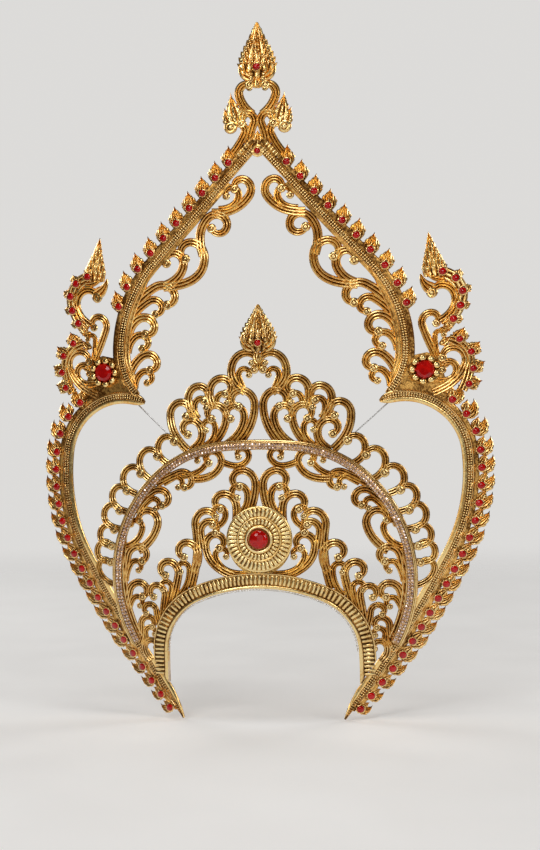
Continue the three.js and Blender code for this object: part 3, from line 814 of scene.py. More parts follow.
piece("worked_tiara_arch", arch_band, TIARA_GILT, ["tiara_arch"])
cup = turned([(0, 0, 0), (1.42, 0, 0), (1.45, 1.1, 1), (1.15, 1.3, 1), (1.05, 0.7, 0), (0, 0.7, 0)], 8)
chain_stone = turned([(0, 0.4, 0), (1.0, 0.6, 0), (1.1, 1.15, 0), (0.6, 1.8, 0), (0, 1.8, 0)], 8)
chain_stations = np.arange(-ARCH_END + CHAIN_STOP, ARCH_END - CHAIN_STOP, CHAIN_PITCH)
cups = [seat(ARCH, s, row, CHAIN_BACK) for s in chain_stations for row in CHAIN_ROWS]
bed_section = strip_section(*CHAIN_BED, *CHAIN_BED_LAYER, CHAIN_BED_RELIEF)
chain_bed = along_course(ARCH, bed_section, -ARCH_END, ARCH_END)
chain_cups = joined([chain_bed, stamped(cup, cups)])
piece("worked_rhinestone_chain", chain_cups, CUP_SILVER, ["rhinestone_chain"])

# Each stone sits a little askew in its cup, so that they glint one by one.
draw = np.random.default_rng(7)
askew = []
for place in cups:
    tip, roll = CHAIN_TILT * draw.uniform(-1, 1, 2)
    askew.append(place @ Matrix.Rotation(tip, 4, "X") @ Matrix.Rotation(roll, 4, "Z"))
piece("chain_stones", stamped(chain_stone, askew), CHAIN_STONE, sharp=CHAIN_SHARP)

# %% [markdown]
# ## Head band
# The band that goes round the hair has a smooth rim, a field of close transverse ribs and a flange that
# sits on the head. It could be a box bent by a modifier, but one L-shaped section makes all but the ribs,
# and the ribs are stamped. The band ends against the side rails, so it is sawn there.

# %% Head band
BAND_WIDTH, BAND_RIM, BAND_EDGE, BAND_WALL = 14, 3.4, 1.2, 2
BAND_FRONT, BAND_FIELD, BAND_BACK, SEAT_BACK = -8.4, -6.3, -5, 12
# The sunk field between the ribs has a low relief, which paints shade between them.
FIELD_SHADE_RELIEF = 0.32
RIB_PITCH, RIB_SHARE, RIB_HEIGHT, RIB_STOP = 3.6, 0.84, 1.6, 14
BAND_SECTION = [
    (0, -SEAT_BACK, BACK_RELIEF), (0, 7.6, 0.7), (0.5, 8.3, 1), (1.4, -BAND_FRONT, 1), (2.4, 8.2, 0.9),
    (3.1, 7.6, 0.6), (BAND_RIM, -BAND_FIELD, FIELD_SHADE_RELIEF),
    (BAND_WIDTH - BAND_EDGE, -BAND_FIELD, FIELD_SHADE_RELIEF), (BAND_WIDTH - 1.0, 7.0, 0.8),
    (BAND_WIDTH - 0.4, 7.2, 1), (BAND_WIDTH, 6.6, 0.6),
    (BAND_WIDTH, -BAND_BACK, BACK_RELIEF), (BAND_WALL, -BAND_BACK, BACK_RELIEF),
    (BAND_WALL, -SEAT_BACK, BACK_RELIEF),
]
SIDE_HALF = 5.4
BAND_JOINT = 318
joint_place, joint_heading = SIDE.off(BAND_JOINT, -SIDE_HALF - GAP)
joint_away = joint_heading + math.pi / 2
mirror_place = complex(-joint_place.real, joint_place.imag)
saw_cuts = [(joint_place, joint_away), (mirror_place, math.pi - joint_away)]
band_body = along_course(BAND, BAND_SECTION, -BAND.length, BAND.length, cuts=saw_cuts)
band_rib = rib(BAND_WIDTH - BAND_RIM - BAND_EDGE, RIB_SHARE * RIB_PITCH, RIB_HEIGHT)
rib_reach = RIB_PITCH * math.floor((BAND.length - RIB_STOP) / RIB_PITCH)
rib_middle = 0.5 * (BAND_RIM + BAND_WIDTH - BAND_EDGE)
rib_places = [seat(BAND, s, rib_middle, BAND_FIELD) for s in np.arange(-rib_reach, rib_reach + 1, RIB_PITCH)]
ribbed_band = joined([band_body, stamped(band_rib, rib_places)])
piece("worked_head_band", ribbed_band, TIARA_GILT, ["head_band"])

# %% [markdown]
# ## Bead edging
# A string of small silver beads lies just inside the rim. An array along a curve would give the beads,
# but stamped along a fine wire they make one mesh with it, as the real string is one thing.

# %% Bead edging
BROW_END = 35
TRIM_OUT, TRIM_BACK, TRIM_PITCH = -1.2, -7.4, 2.7
TRIM_BEAD, TRIM_WIRE = 0.8, 0.3
trim_reach = BAND.length - BROW_END
trim_wire = along_course(BAND, wire_section(TRIM_WIRE, TRIM_OUT, -TRIM_BACK), -trim_reach, trim_reach)
trim_stations = np.arange(-trim_reach, trim_reach + 0.1, TRIM_PITCH)
trim_places = [seat(BAND, s, TRIM_OUT, TRIM_BACK, TRIM_BEAD) for s in trim_stations]
bead_trim = joined([trim_wire, stamped(UNIT_BALL, trim_places)])
piece("worked_band_bead_trim", bead_trim, BEAD_SILVER, ["band_bead_trim"])

# %% [markdown]
# ## Brow scrolls
# A fan of tendrils rises from the band and from behind the rosette. Their feet are soldered to a strip
# behind the band. They are made as the other scrolls are, from a table, but lie further forward than
# those of the arch.

# %% Brow scrolls
BROW = scrolls([
    (11, 157, 3.4, 184, 18, 189.5, -290),
    (18.5, 158, 10.5, 177.5, 20, 178.5, -270),
    (22, 148, 21, 166.5, 34.5, 169, -270),
    (64, 92, 59, 147.5, 46, 154, 260),
    (51.5, 128, 54, 141.5, 44, 146, 250),
    (43, 146.5, 31, 160, 38, 161, -250),
    (24, 104, 49.5, 129.5, 38.5, 133.5, 270),
    (8, 106, 40, 119.5, 34, 123.5, 250),
    (61.5, 107, 56.5, 119.5, 69, 125, -280),
    (74.5, 85, 65, 109, 71.5, 110, -250),
    (82, 78, 75.5, 102.5, 86.5, 108, -280),
    (87.5, 71, 82, 91, 88, 93, -240),
    (91, 64, 88.5, 83.5, 97.5, 87.5, -270),
    (92, 53, 97, 70, 104.5, 71, -240),
])
BROW_STRIP = (2.3, 12.5)
brow_strip = along_course(BAND, strip_section(*BROW_STRIP, *BROW_LAYER), 0, BAND.length - BROW_END)
pair("brow_scrolls", joined([brow_strip, tendrils(BROW, BROW_LAYER)]), TIARA_GILT)

# %% [markdown]
# ## Rosette
# The flower over the brow is turned, with two rings of radial ribs and a smooth ring round its stone. The
# ribs are bars that widen outwards. They could be waves on the turned disc, but bars give the gaps that
# the real one has, and the disc between them has a low relief, which paints shade into them. A plain
# disc behind the flower backs the feet of the scrolls.

# %% Rosette
ROSETTE_PLACE, ROSETTE_RADIUS, ROSETTE_BACK = 137.2j, 30, -5.2
RIB_FILL = 0.86
OUTER_RIBS, INNER_RIBS = 42, 30
ROSETTE_STONE, ROSETTE_STONE_HEIGHT, ROSETTE_STONE_SEAT = 8.7, 5.2, 5.0
DISC_PLACE, DISC_RADIUS, DISC_DEEP = 133j, 28.5, 2.6
# The flats of the disc, where the ribs stand, have relief 0.2: painted shade in the gaps between ribs.
rosette_disc = turned([
    (0, 0, 0.4), (29, 0, 0.4), (ROSETTE_RADIUS, 1.0, 0.9), (29.6, 2.0, 1), (28.4, 2.3, 0.7),
    (27.8, 2.0, 0.2), (20.8, 2.6, 0.2), (20.3, 3.6, 0.6), (19.6, 4.0, 0.9), (18.9, 3.7, 0.6),
    (18.4, 3.1, 0.2), (13.4, 3.8, 0.2), (12.9, 5.3, 0.6), (12.1, 6.2, 0.9), (11.0, 6.4, 1),
    (10.2, 6.0, 0.8), (9.6, 5.0, 0.2), (0, 5.0, 0.1),
], 96)
backing_disc = turned([
    (0, 0, 0.4), (DISC_RADIUS, 0, 0.4), (DISC_RADIUS, DISC_DEEP, 0.4), (0, DISC_DEEP, 0.1),
], 48)


def radial_ribs(inner, outer, height, count, forward):
    """A ring of bars, each as much wider at its outer end as the ring is."""
    shape = rib(outer - inner, 2, height)
    middle = 0.5 * (inner + outer)
    points = shape.points.copy()
    points[:, 2] *= RIB_FILL * math.pi / count * (points[:, 0] + middle)
    points[:, 0] += middle
    turns = np.arange(count) * 2 * math.pi / count
    places = [station(ROSETTE_PLACE, a, ROSETTE_BACK - forward) for a in turns]
    return stamped(shape._replace(points=points), places)


rosette = joined([
    stamped(rosette_disc, [facing(ROSETTE_PLACE, ROSETTE_BACK)]),
    radial_ribs(20.4, 28.6, 1.7, OUTER_RIBS, 2.0),
    radial_ribs(13.2, 18.8, 1.6, INNER_RIBS, 3.1),
    stamped(backing_disc, [facing(DISC_PLACE, BROW_LAYER[1])]),
])
piece("worked_rosette", rosette, ROSETTE_GILT, ["rosette"])


def cabochon(radius, height, rings, steps):
    """A domed stone with a short straight girdle."""
    angles = np.linspace(0, math.pi / 2, rings + 1)
    profile = [(radius * math.sin(a), 0.2 * height + 0.8 * height * math.cos(a), 1) for a in angles]
    return turned([*profile, (radius * 0.95, 0, 0), (0, 0, 0)], steps)


def single_stone(node, shape, place, back, size=1):
    """A red stone that is a piece of its own."""
    stone = stamped(shape, [facing(place, back, size)])
    piece(f"worked_{node}", stone, RED_GLASS, [node])


rosette_stone = cabochon(ROSETTE_STONE, ROSETTE_STONE_HEIGHT, 8, 32)
single_stone("rosette_stone", rosette_stone, ROSETTE_PLACE, ROSETTE_BACK - ROSETTE_STONE_SEAT)

# %% [markdown]
# ## Rails
# The gable and side rails are long mouldings: a smooth lip on each edge and columns of small beads
# between. They could be bevelled curves with beads on an array, but one swept section gives the lips and
# the sunk field, and the beads are stamped. The side rail is round at the cusp and runs out at the jaw,
# and the gable rails meet in a mitre.

# %% Rails
RAIL_LAYER = (0.3, 5.3)
GABLE_HALF, GABLE_LIP, GABLE_FOOT, GABLE_OVERRUN = 3.6, 1.1, 278, 4
FIELD = 1.5
# The beads of a rail have a size across, along and high, columns, and a start, an end and a pitch.
GABLE_BEAD, GABLE_COLUMNS, GABLE_BEADS = (2.2, 1.6, 1.0), (-1.2, 1.2), (7, GABLE_FOOT - 4, 2.3)
SIDE_BEAD, SIDE_COLUMNS, SIDE_BEADS = (1.9, 1.7, 1.1), (0.15, 2.25), (4, SIDE.length - 4, 2.2)
SIDE_ROUND, SIDE_TIP, SIDE_RUNOUT = 13, 0.16, 32


def lipped_section(half, front, back, lip):
    """Band with a round lip on each edge and a sunk field."""
    side = [
        (half, -back, BACK_RELIEF),
        (half, -front - 0.9, 0.5),
        (half - 0.3 * lip, -front - 0.2, 0.9),
        (half - 0.6 * lip, -front, 1.0),
        (half - 0.9 * lip, -front - 0.3, 0.7),
        (half - 1.1 * lip, -front - 1.1, 0.2),
    ]
    return side + [(-across, forward, relief) for across, forward, relief in reversed(side)]


def side_taper(s):
    """Share of the full width: round at the cusp, and a point at the jaw."""
    round_end = math.sqrt(max(0.06, 1 - max(0, 1 - s / SIDE_ROUND) ** 2))
    return min(round_end, SIDE_TIP + (SIDE.length - s) / SIDE_RUNOUT)


def gable_taper(s):
    return min(1, 0.6 + (GABLE_FOOT - s) / 14)


def rail_beads(course, shape, columns, start, end, pitch, taper):
    places = []
    for s in np.arange(start, end, pitch):
        share = taper(s)
        places += [seat(course, s, column * share, FIELD, 0.2 + 0.8 * share) for column in columns]
    return stamped(shape, places)


gable_lips = along_course(
    GABLE, lipped_section(GABLE_HALF, *RAIL_LAYER, GABLE_LIP), -GABLE_OVERRUN, GABLE_FOOT,
    taper=gable_taper, cuts=[(GAP / 2 + 0j, math.pi)],
)
gable_beads = rail_beads(GABLE, rib(*GABLE_BEAD), GABLE_COLUMNS, *GABLE_BEADS, gable_taper)
pair("gable_rail", joined([gable_lips, gable_beads]), SURROUND_GILT)

# The side rail has a narrow rim outside, two columns of beads, and a broad smooth slope inside.
SIDE_SECTION = [
    (-SIDE_HALF, -5.3, BACK_RELIEF), (-SIDE_HALF, -2.6, 0.5), (-4.9, -1.3, 0.75), (-3.4, -0.6, 0.85),
    (-1.7, -0.3, 0.9), (-1.1, -0.6, 0.5), (-0.9, -FIELD, 0.25), (3.3, -FIELD, 0.25), (3.5, -0.5, 0.8),
    (3.9, -0.3, 1), (4.2, -0.9, 0.1), (4.6, -0.3, 1), (5.0, -0.5, 0.9),
    (SIDE_HALF, -1.3, 0.5), (SIDE_HALF, -5.3, BACK_RELIEF),
]
side_lips = along_course(SIDE, SIDE_SECTION[::-1], 0, SIDE.length, taper=side_taper)
side_beads = rail_beads(SIDE, rib(*SIDE_BEAD), SIDE_COLUMNS, *SIDE_BEADS, side_taper)
pair("side_rail", joined([side_lips, side_beads]), SURROUND_GILT)

# %% [markdown]
# ## Flame leaves
# A flame leaf is built of lobes. It could be sculpted, but dozens of leaves have to match. A lobe is a
# sweep too: its spine is an arc, its width swells and runs out to a point, and its ridges meet at the
# tip, as the chased lines do. The tip is worn bright. Notches in its width make the teeth of the edge,
# and because the edges run ahead of the spine, the teeth point towards the tip. A red stone in a beaded
# collet sits low on the leaf.

# %% Leaf lobes
Leaf = namedtuple("Leaf", "x z heading length width")
TOOTH = ((0, 0.87), (0.45, 0.95), (0.9, 1.0))
EDGE_LEAD, SPIRE_LEAD = 0.6, 0.3
TIP_SHINE = 0.55
LOBE_BACK = 0.33
LOBE_CROWN, LOBE_FOOT_HALF = 0.3, 0.98
LOBE_STEPS = 12


def swell(t):
    """Half width of a flame along its spine: round at its foot, hollow near its tip, and 1 at its widest."""
    if t < 0.3:
        return math.sqrt(1 - 0.85 * (1 - t / 0.3) ** 2)
    rest = (1 - t) / 0.7
    return max(0.03, rest ** (1.3 - 0.6 * rest))


def spire(t):
    """Half width of a straight flame, which is widest at its foot."""
    return max(0.03, (1 - t) ** 0.85)


def lobe(place, heading, length, width, layer, curve=0.0, ridges=3, teeth=0, profile=swell, lead=EDGE_LEAD):
    """A ridged flame between two depths, bent by its curve in degrees. Only a toothed one has a lead."""
    front, back = layer
    heading = math.radians(heading)
    along = [((tooth + t) / teeth, notch) for tooth in range(teeth) for t, notch in TOOTH] + [(1, 1)]
    if not teeth:
        along = [(t, 1) for t in np.linspace(0, 1, LOBE_STEPS + 1)]
    stations = []
    for t, notch in along:
        spot, ahead = walked(place, heading, length * t, math.radians(curve) * t)
        wide = 0.5 * width * profile(t) * notch
        deep = (back - front) * (0.12 + 0.88 * profile(t) ** 0.6) * (0.4 + 0.6 * notch)
        stations.append(station(spot, ahead, back, wide, deep, wide))
    flat_back = [(LOBE_BACK, 0, BACK_RELIEF), (-LOBE_BACK, 0, BACK_RELIEF)]
    section = [*ridged(ridges, LOBE_CROWN, LOBE_FOOT_HALF), *flat_back]
    shape = swept(section, stations, lead=lead if teeth else 0)
    worn = TIP_SHINE * np.repeat([t ** 2 for t, _ in along], len(section))
    return shape._replace(relief=shape.relief + worn * (1 - shape.relief))


def leaf_lobe(leaf, layer, **form):
    """A lobe at the place and in the size of a leaf."""
    return lobe(complex(leaf.x, leaf.z), leaf.heading, leaf.length, leaf.width, layer, **form)


print("a toothed leaf has", len(lobe(0j, 90, 20, 10, (0, 3), teeth=5).sizes), "faces")

# %% Set stones
LEAF_STONE = 3.2
COLLET_GRAINS, COLLET_RADIUS, GRAIN_SIZE = 10, 1.22, (0.24, 0.5, 0.24, 1)
GRAIN = dome(2, 6)
collet_ring = turned([
    (0, 0, 0), (COLLET_RADIUS, 0, 0.3), (1.24, 0.4, 0.8), (1.16, 0.6, 1), (1.04, 0.64, 1),
    (0.97, 0.4, 0.2), (0, 0.4, 0),
], 14)
grain_places = []
for a in np.arange(COLLET_GRAINS) * 2 * math.pi / COLLET_GRAINS:
    ring_place = Matrix.Translation((COLLET_RADIUS * math.cos(a), 0, COLLET_RADIUS * math.sin(a)))
    grain_places.append(ring_place @ Matrix.Diagonal(GRAIN_SIZE))
COLLET = joined([collet_ring, stamped(GRAIN, grain_places)])
SMALL_STONE = stamped(cabochon(1, 0.75, 4, 14), [Matrix.Translation((0, 0.3, 0))])
set_stones = []


def set_stone(place, back, radius=LEAF_STONE):
    """Collet for a stone, whose place is noted so that all the stones become one piece."""
    spot = facing(place, back, radius)
    set_stones.append(spot)
    return stamped(COLLET, [spot])


print("a collet has", len(COLLET.sizes), "faces and its stone", len(SMALL_STONE.sizes))

# %% Leaf rows
LEAF_LAYER = (0.4, 4)
SIDE_LEAF_LENGTH = 18
LEAF_FOOT = 0.26
VEIN_RISE, STONE_RISE = 0.5, 0.3
SUNK_BACK = 1
GABLE_BODY, GABLE_BODY_FOOT, GABLE_BODY_TURN, GABLE_BODY_CURVE = (1.06, 1.4), -0.1, 5, -14
VEIN_PLACE, VEIN_SIZE, VEIN_TURN, VEIN_CURVE = (0.36, 0.2), (0.4, 0.32), 14, 20
SHRINKING = 5
LEAN_LEAF, LEAN_TURN = (0, 3, 8, 18), (18, 3, -25, -38)
SideLobe = namedtuple("SideLobe", "x z heading length width curve sunk ridges teeth")
SIDE_LOBES = [SideLobe(*row) for row in (
    (-3, -2.5, 5, 1.1, 1.1, 92, 0, 5, 5),
    (-2, 0.5, 70, 0.72, 0.82, -8, -0.2, 3, 3),
    (-8, -4, 70, 0.6, 0.56, 10, 0.3, 2, 0),
)]


def ahead_of(leaf, share):
    """Place on the axis of a leaf, at a share of its length."""
    return complex(leaf.x, leaf.z) + cmath.rect(share * leaf.length, math.radians(leaf.heading))


def gable_leaf(leaf, layer, stone=LEAF_STONE):
    """An upright leaf with its tip bent a little outwards, two veins and a stone."""
    front, back = layer
    raised = (front - VEIN_RISE, back - SUNK_BACK)
    body, vein = [(long * leaf.length, wide * leaf.width) for long, wide in (GABLE_BODY, VEIN_SIZE)]
    heading = leaf.heading + GABLE_BODY_TURN
    parts = [lobe(ahead_of(leaf, GABLE_BODY_FOOT), heading, *body, layer, GABLE_BODY_CURVE, 5, 5)]
    for side in (-1, 1):
        foot = ahead_of(leaf, VEIN_PLACE[0]) + side * VEIN_PLACE[1] * leaf.width
        parts.append(lobe(foot, leaf.heading - VEIN_TURN * side, *vein, raised, VEIN_CURVE * side, 2))
    return joined([*parts, set_stone(ahead_of(leaf, LEAF_FOOT), front - STONE_RISE, stone)])


def side_leaf(leaf, lean, layer):
    """A leaf like a breaking wave: a body that bulges outwards, an ear beside it and a scale at the rail."""
    front, back = layer
    stone = ahead_of(leaf, LEAF_FOOT)
    turn = cmath.rect(1, math.radians(lean))
    parts = [set_stone(stone, front - STONE_RISE)]
    for i, row in enumerate(SIDE_LOBES):
        foot = stone + complex(row.x, row.z) * turn * leaf.length / SIDE_LEAF_LENGTH
        size = (row.length * leaf.length, row.width * leaf.width)
        sunk = (front + row.sunk, back - 0.5 * SUNK_BACK * i)
        parts.append(lobe(foot, lean + row.heading, *size, sunk, row.curve, row.ridges, row.teeth))
    return joined(parts)


def leaf_row(course, count, first, pitch, out, length, width, lean, end=1.0):
    """Leaves along a course, whose last few shrink to an end share of the full size."""
    leaves = []
    shares = np.interp(np.arange(count), (count - 1 - SHRINKING, count - 1), (1, end))
    for i, (heading, share) in enumerate(zip(np.linspace(*lean, count), shares)):
        stone = course.off(first + pitch * i, out * share)[0]
        foot = stone - LEAF_FOOT * share * length * cmath.exp(1j * math.radians(heading))
        leaves.append(Leaf(foot.real, foot.imag, heading, share * length, share * width))
    return leaves


GABLE_LEAF_COUNT, GABLE_LEAF_FIRST, GABLE_LEAF_PITCH = 10, 30, 18.3
GABLE_LEAF_OUT, GABLE_LEAF_SIZE, GABLE_LEAF_TURN = 8.4, (21.5, 12), (90, 76)
SIDE_LEAF_COUNT, SIDE_LEAF_FIRST, SIDE_LEAF_PITCH = 21, 59, 14.8
SIDE_LEAF_OUT, SIDE_LEAF_SIZE, SIDE_LEAF_TURN = 11, (SIDE_LEAF_LENGTH, 11), (64, 8.4)
SIDE_LEAF_END = 0.7
GABLE_STRIP, SIDE_STRIP, GABLE_TONE, SIDE_TONE = (3.4, 7.5), (5.1, 8.4), 0.1, 0.2
gable_row = leaf_row(
    GABLE, GABLE_LEAF_COUNT, GABLE_LEAF_FIRST, GABLE_LEAF_PITCH, GABLE_LEAF_OUT, *GABLE_LEAF_SIZE,
    GABLE_LEAF_TURN,
)
side_row = leaf_row(
    SIDE, SIDE_LEAF_COUNT, SIDE_LEAF_FIRST, SIDE_LEAF_PITCH, SIDE_LEAF_OUT, *SIDE_LEAF_SIZE, SIDE_LEAF_TURN,
    SIDE_LEAF_END,
)
gable_leaf_start = GABLE_LEAF_FIRST - 0.45 * GABLE_LEAF_PITCH
side_leaf_reach = (
    SIDE_LEAF_FIRST - 0.6 * SIDE_LEAF_PITCH,
    SIDE_LEAF_FIRST + (SIDE_LEAF_COUNT - 0.65) * SIDE_LEAF_PITCH,
)
gable_section = strip_section(*GABLE_STRIP, *STRIP_LAYER, GABLE_TONE)
side_section = strip_section(*SIDE_STRIP, *STRIP_LAYER, SIDE_TONE)
gable_strip = along_course(GABLE, gable_section, gable_leaf_start, GABLE_END)
side_strip = along_course(SIDE, side_section, *side_leaf_reach, taper=side_taper)
gable_leaves = [gable_leaf(leaf, LEAF_LAYER) for leaf in gable_row]
side_leans = np.interp(np.arange(len(side_row)), LEAN_LEAF, LEAN_TURN)
side_leaves = [side_leaf(leaf, lean, LEAF_LAYER) for leaf, lean in zip(side_row, side_leans)]
pair("gable_leaves", joined([gable_strip, *gable_leaves]), SURROUND_GILT)
pair("side_leaves", joined([side_strip, *side_leaves]), SURROUND_GILT)

# %% [markdown]
# ## Gable scrolls
# Broad tendrils hang inside the gable rails, on a strip behind them, and a stem runs beside the lower
# half of each rail. They are made as those of the tiara are, with a wider ribbon.

# %% Gable scrolls
GABLE_SCROLLS = scrolls([
    (42.5, 431, 8.5, 445.5, 16, 454.5, -250),
    (36, 434, 18, 444.5, 25, 448.5, -240),
    (50.5, 392.5, 47, 425.5, 36.5, 419.5, 310, 0.55),
    (88, 364.5, 49.5, 388, 65, 395, -270),
    (86.5, 365.5, 70, 380.5, 80, 388, -240),
    (115, 348.5, 97, 363.5, 85, 353.5, 230),
    (116, 339.5, 102.5, 351, 95.5, 344.5, 230),
    (122, 319.5, 113.5, 334, 104, 326.5, 250),
    (122.5, 304, 116, 318, 108.5, 313, 240),
    (121, 283.5, 110, 300.5, 101, 294, 240),
    (116, 272, 110, 286, 104.5, 281.5, 230),
])
SCROLL_STRIP, SCROLL_STRIP_START = (-6.6, -3.4), 44
GABLE_STEM, GABLE_STEM_LAYER = (-9.2, -3.2), (0.5, 3.9)
GABLE_STEM_REACH, GABLE_STEM_EASE = (150, 272), (25, 12)
GABLE_WIDTHS = (9, 7.6)
scroll_section = strip_section(*SCROLL_STRIP, *STRIP_LAYER, 0.3)
scroll_strip = along_course(GABLE, scroll_section, SCROLL_STRIP_START, GABLE_END)
gable_stem = stem_ribbon(GABLE, GABLE_STEM, GABLE_STEM_LAYER, GABLE_STEM_REACH, GABLE_STEM_EASE)
gable_tendrils = tendrils(GABLE_SCROLLS, STRIP_LAYER, widths=GABLE_WIDTHS)
pair("gable_scrolls", joined([scroll_strip, gable_stem, gable_tendrils]), SURROUND_GILT)

# %% [markdown]
# ## Shoulders
# Each shoulder has an S scroll with a row of set stones, a C scroll with small leaves, a tall flame with
# a serrated edge, and a large red stone in a claw setting. They could be sculpted as one mass, but each
# part is a sweep or a turned shape that the lesson already has. First come the ribbons of the two
# scrolls, with their thorns and leaves.

# %% Shoulder ribbons
THORN_RUN = Course(164.5 + 322.8j, 49, [(25, 22), (40, 104)])
LEAF_RUN = Course(177 + 266j, 62, [(22, 20), (34, 85)])
THORN_RIBBON, LEAF_RIBBON, RIBBON_RIDGES = (-3.9, 7.4), (-4, 4.6), 3
THORNS, THORN_REACH = 5, (9.2, THORN_RUN.length - 3.2)
THORN_RADIUS, THORN_POINT, THORN_TURN, THORN_CURVE = 4.8, (8.5, 9), -75, 20
SHOULDER_LEAVES, SHOULDER_LEAF_REACH, SHOULDER_LEAF_TURN = 4, (7, LEAF_RUN.length - 8), (14, 74)
SHOULDER_LEAF_OUT, SHOULDER_LEAF_SIZE, SHOULDER_LEAF_STONE = -3, (15.5, 11), 2.9
THORN_SUNK, THORN_STONE_RISE = 0.3, 0.1
THORN_DISC = turned([(0, 0, 0.4), (1, 0, 0.4), (1, 0.36, 0.5), (0.9, 0.5, 0.8), (0, 0.5, 0.3)], 10)


def thorn(s, layer):
    """A stone on a round plate with a short point outwards."""
    front, back = layer
    place, heading = THORN_RUN.at(s)
    point_layer = (front + THORN_SUNK, back - 0.5 * SUNK_BACK)
    return joined([
        stamped(THORN_DISC, [facing(place, back, THORN_RADIUS, 2 * (back - front))]),
        lobe(place, math.degrees(heading) + THORN_TURN, *THORN_POINT, point_layer, THORN_CURVE, teeth=3),
        set_stone(place, front - THORN_STONE_RISE),
    ])


def shoulder_leaf(s, heading, layer):
    """A small leaf with its stone on the C scroll."""
    length, width = SHOULDER_LEAF_SIZE
    stone = LEAF_RUN.off(s, SHOULDER_LEAF_OUT)[0]
    foot = stone - cmath.rect(LEAF_FOOT * length, math.radians(heading))
    return gable_leaf(Leaf(foot.real, foot.imag, heading, length, width), layer, SHOULDER_LEAF_STONE)


leaf_stops = np.linspace(*SHOULDER_LEAF_REACH, SHOULDER_LEAVES)
leaf_turns = np.linspace(*SHOULDER_LEAF_TURN, SHOULDER_LEAVES)
shoulder_ribbons = joined([
    along_course(THORN_RUN, ribbon_section(*THORN_RIBBON, STRIP_LAYER, RIBBON_RIDGES), 0, THORN_RUN.length),
    along_course(LEAF_RUN, ribbon_section(*LEAF_RIBBON, STRIP_LAYER, RIBBON_RIDGES), 0, LEAF_RUN.length),
    *[thorn(s, STRIP_LAYER) for s in np.linspace(*THORN_REACH, THORNS)],
    *[shoulder_leaf(s, heading, LEAF_LAYER) for s, heading in zip(leaf_stops, leaf_turns)],
])
print("stones set so far on one side:", len(set_stones))

# %% [markdown]
# ## Shoulder flame
# The flame stands on the S scroll. Its body is a straight lobe with teeth, and rows of scales lie on it.
# Below it, a narrow collar and a swelling wave lead into the scroll, with a knob in the bend. A displaced
# plane would blur the scales, so each of them is a small lobe.

# %% Shoulder flame
SHOULDER_FLAME = Leaf(155, 367, 98.5, 41.5, 22.5)
FLAME_COLLAR, COLLAR_CURVE = Leaf(143.8, 375.5, -58, 23, 6), 62
FLAME_WAVE, WAVE_CURVE = Leaf(142.2, 371, -84, 20, 11), 66
VOLUTE_PLACE, VOLUTE_RADIUS, VOLUTE_DEEP = 151.8 + 354.3j, 5, 5.2
FLAME_SCALES, FLAME_SCALE_SIZE = ((0.1, 4), (0.25, 3), (0.4, 2), (0.55, 1)), (0.34, 0.3)
SCALE_RISE = 0.8
S_LAYER, COLLAR_LAYER = (-0.4, 4), (-1, 4)


def breaking(t):
    """Half width of a wave that swells from its crest to its foot."""
    return min(1, 0.12 + 1.25 * t)


def flame(leaf, layer):
    """A tall serrated flame with rows of scales."""
    front, back = layer
    raised = (front - SCALE_RISE, back - SUNK_BACK)
    ahead = cmath.rect(1, math.radians(leaf.heading))
    size = (FLAME_SCALE_SIZE[0] * leaf.length, FLAME_SCALE_SIZE[1] * leaf.width)
    parts = [leaf_lobe(leaf, layer, ridges=5, teeth=8, profile=spire, lead=SPIRE_LEAD)]
    for along, count in FLAME_SCALES:
        half = 0.5 * leaf.width * spire(along)
        for share in np.linspace(-1, 1, count + 2)[1:-1]:
            start = complex(leaf.x, leaf.z) + ahead * complex(along * leaf.length, -1.1 * share * half)
            parts.append(lobe(start, leaf.heading - 8 * share, *size, raised, 0, 2, 3))
    return joined(parts)


shoulder_flame = joined([
    leaf_lobe(FLAME_COLLAR, COLLAR_LAYER, curve=COLLAR_CURVE, ridges=2, profile=breaking),
    leaf_lobe(FLAME_WAVE, S_LAYER, curve=WAVE_CURVE, profile=breaking),
    stamped(KNOB, [facing(VOLUTE_PLACE, S_LAYER[1], VOLUTE_RADIUS, VOLUTE_DEEP)]),
    flame(SHOULDER_FLAME, LEAF_LAYER),
])
print("the shoulder flame has", len(shoulder_flame.sizes), "faces")

# %% [markdown]
# ## Shoulder setting
# A large red stone with cut facets sits in a ring of claws, and curls and buds grow round it. The claws
# are balls drawn out towards the stone. A plate behind ties the scrolls to the two rails. It is a filled
# outline that is extruded, because its edge follows the side rail.

# %% Shoulder setting
S_SCROLL = scrolls([(158.5, 328.5, 170.5, 341, 157.5, 352.5, 216, 0.34)])
SHOULDER_CURLS = scrolls([
    (155, 297, 143.5, 324.5, 152, 330, -260),
    (156, 297, 154, 315.5, 158, 316, -190),
    (152, 265, 179, 288, 168, 295.5, 215, 0.6),
    (150, 277, 171.5, 281.5, 164, 286.5, 240),
])
BUD_CURVE = 50
BUDS = [Leaf(*row) for row in (
    (166, 328, -112, 10, 9),
    (158, 322.5, -38, 10, 8),
    (157, 308, 10, 12, 9),
    (158, 291, -35, 10, 7),
)]
STONE_PLACE, STONE_RADIUS = 145.8 + 286j, 8.2
CLAWS, CLAW_OUT, CLAW_RISE, CLAW_SIZE = 9, 2.4, 1.4, (3.3, 3.0, 3.1)
CLAW_RADIUS = 13
CUSP_OUT, CUSP_REACH, CUSP_STEPS = 5.1, (60, 12), 9
CUSP_CORNERS = [126 + 278j, 136 + 299j, 147 + 301j, 157 + 297j, 162 + 279j, 168 + 266j]
CUSP_LAYER, CUSP_RELIEF = (2.2, 4), 0.35
FACETS = 12
FACET_SHARP = 12


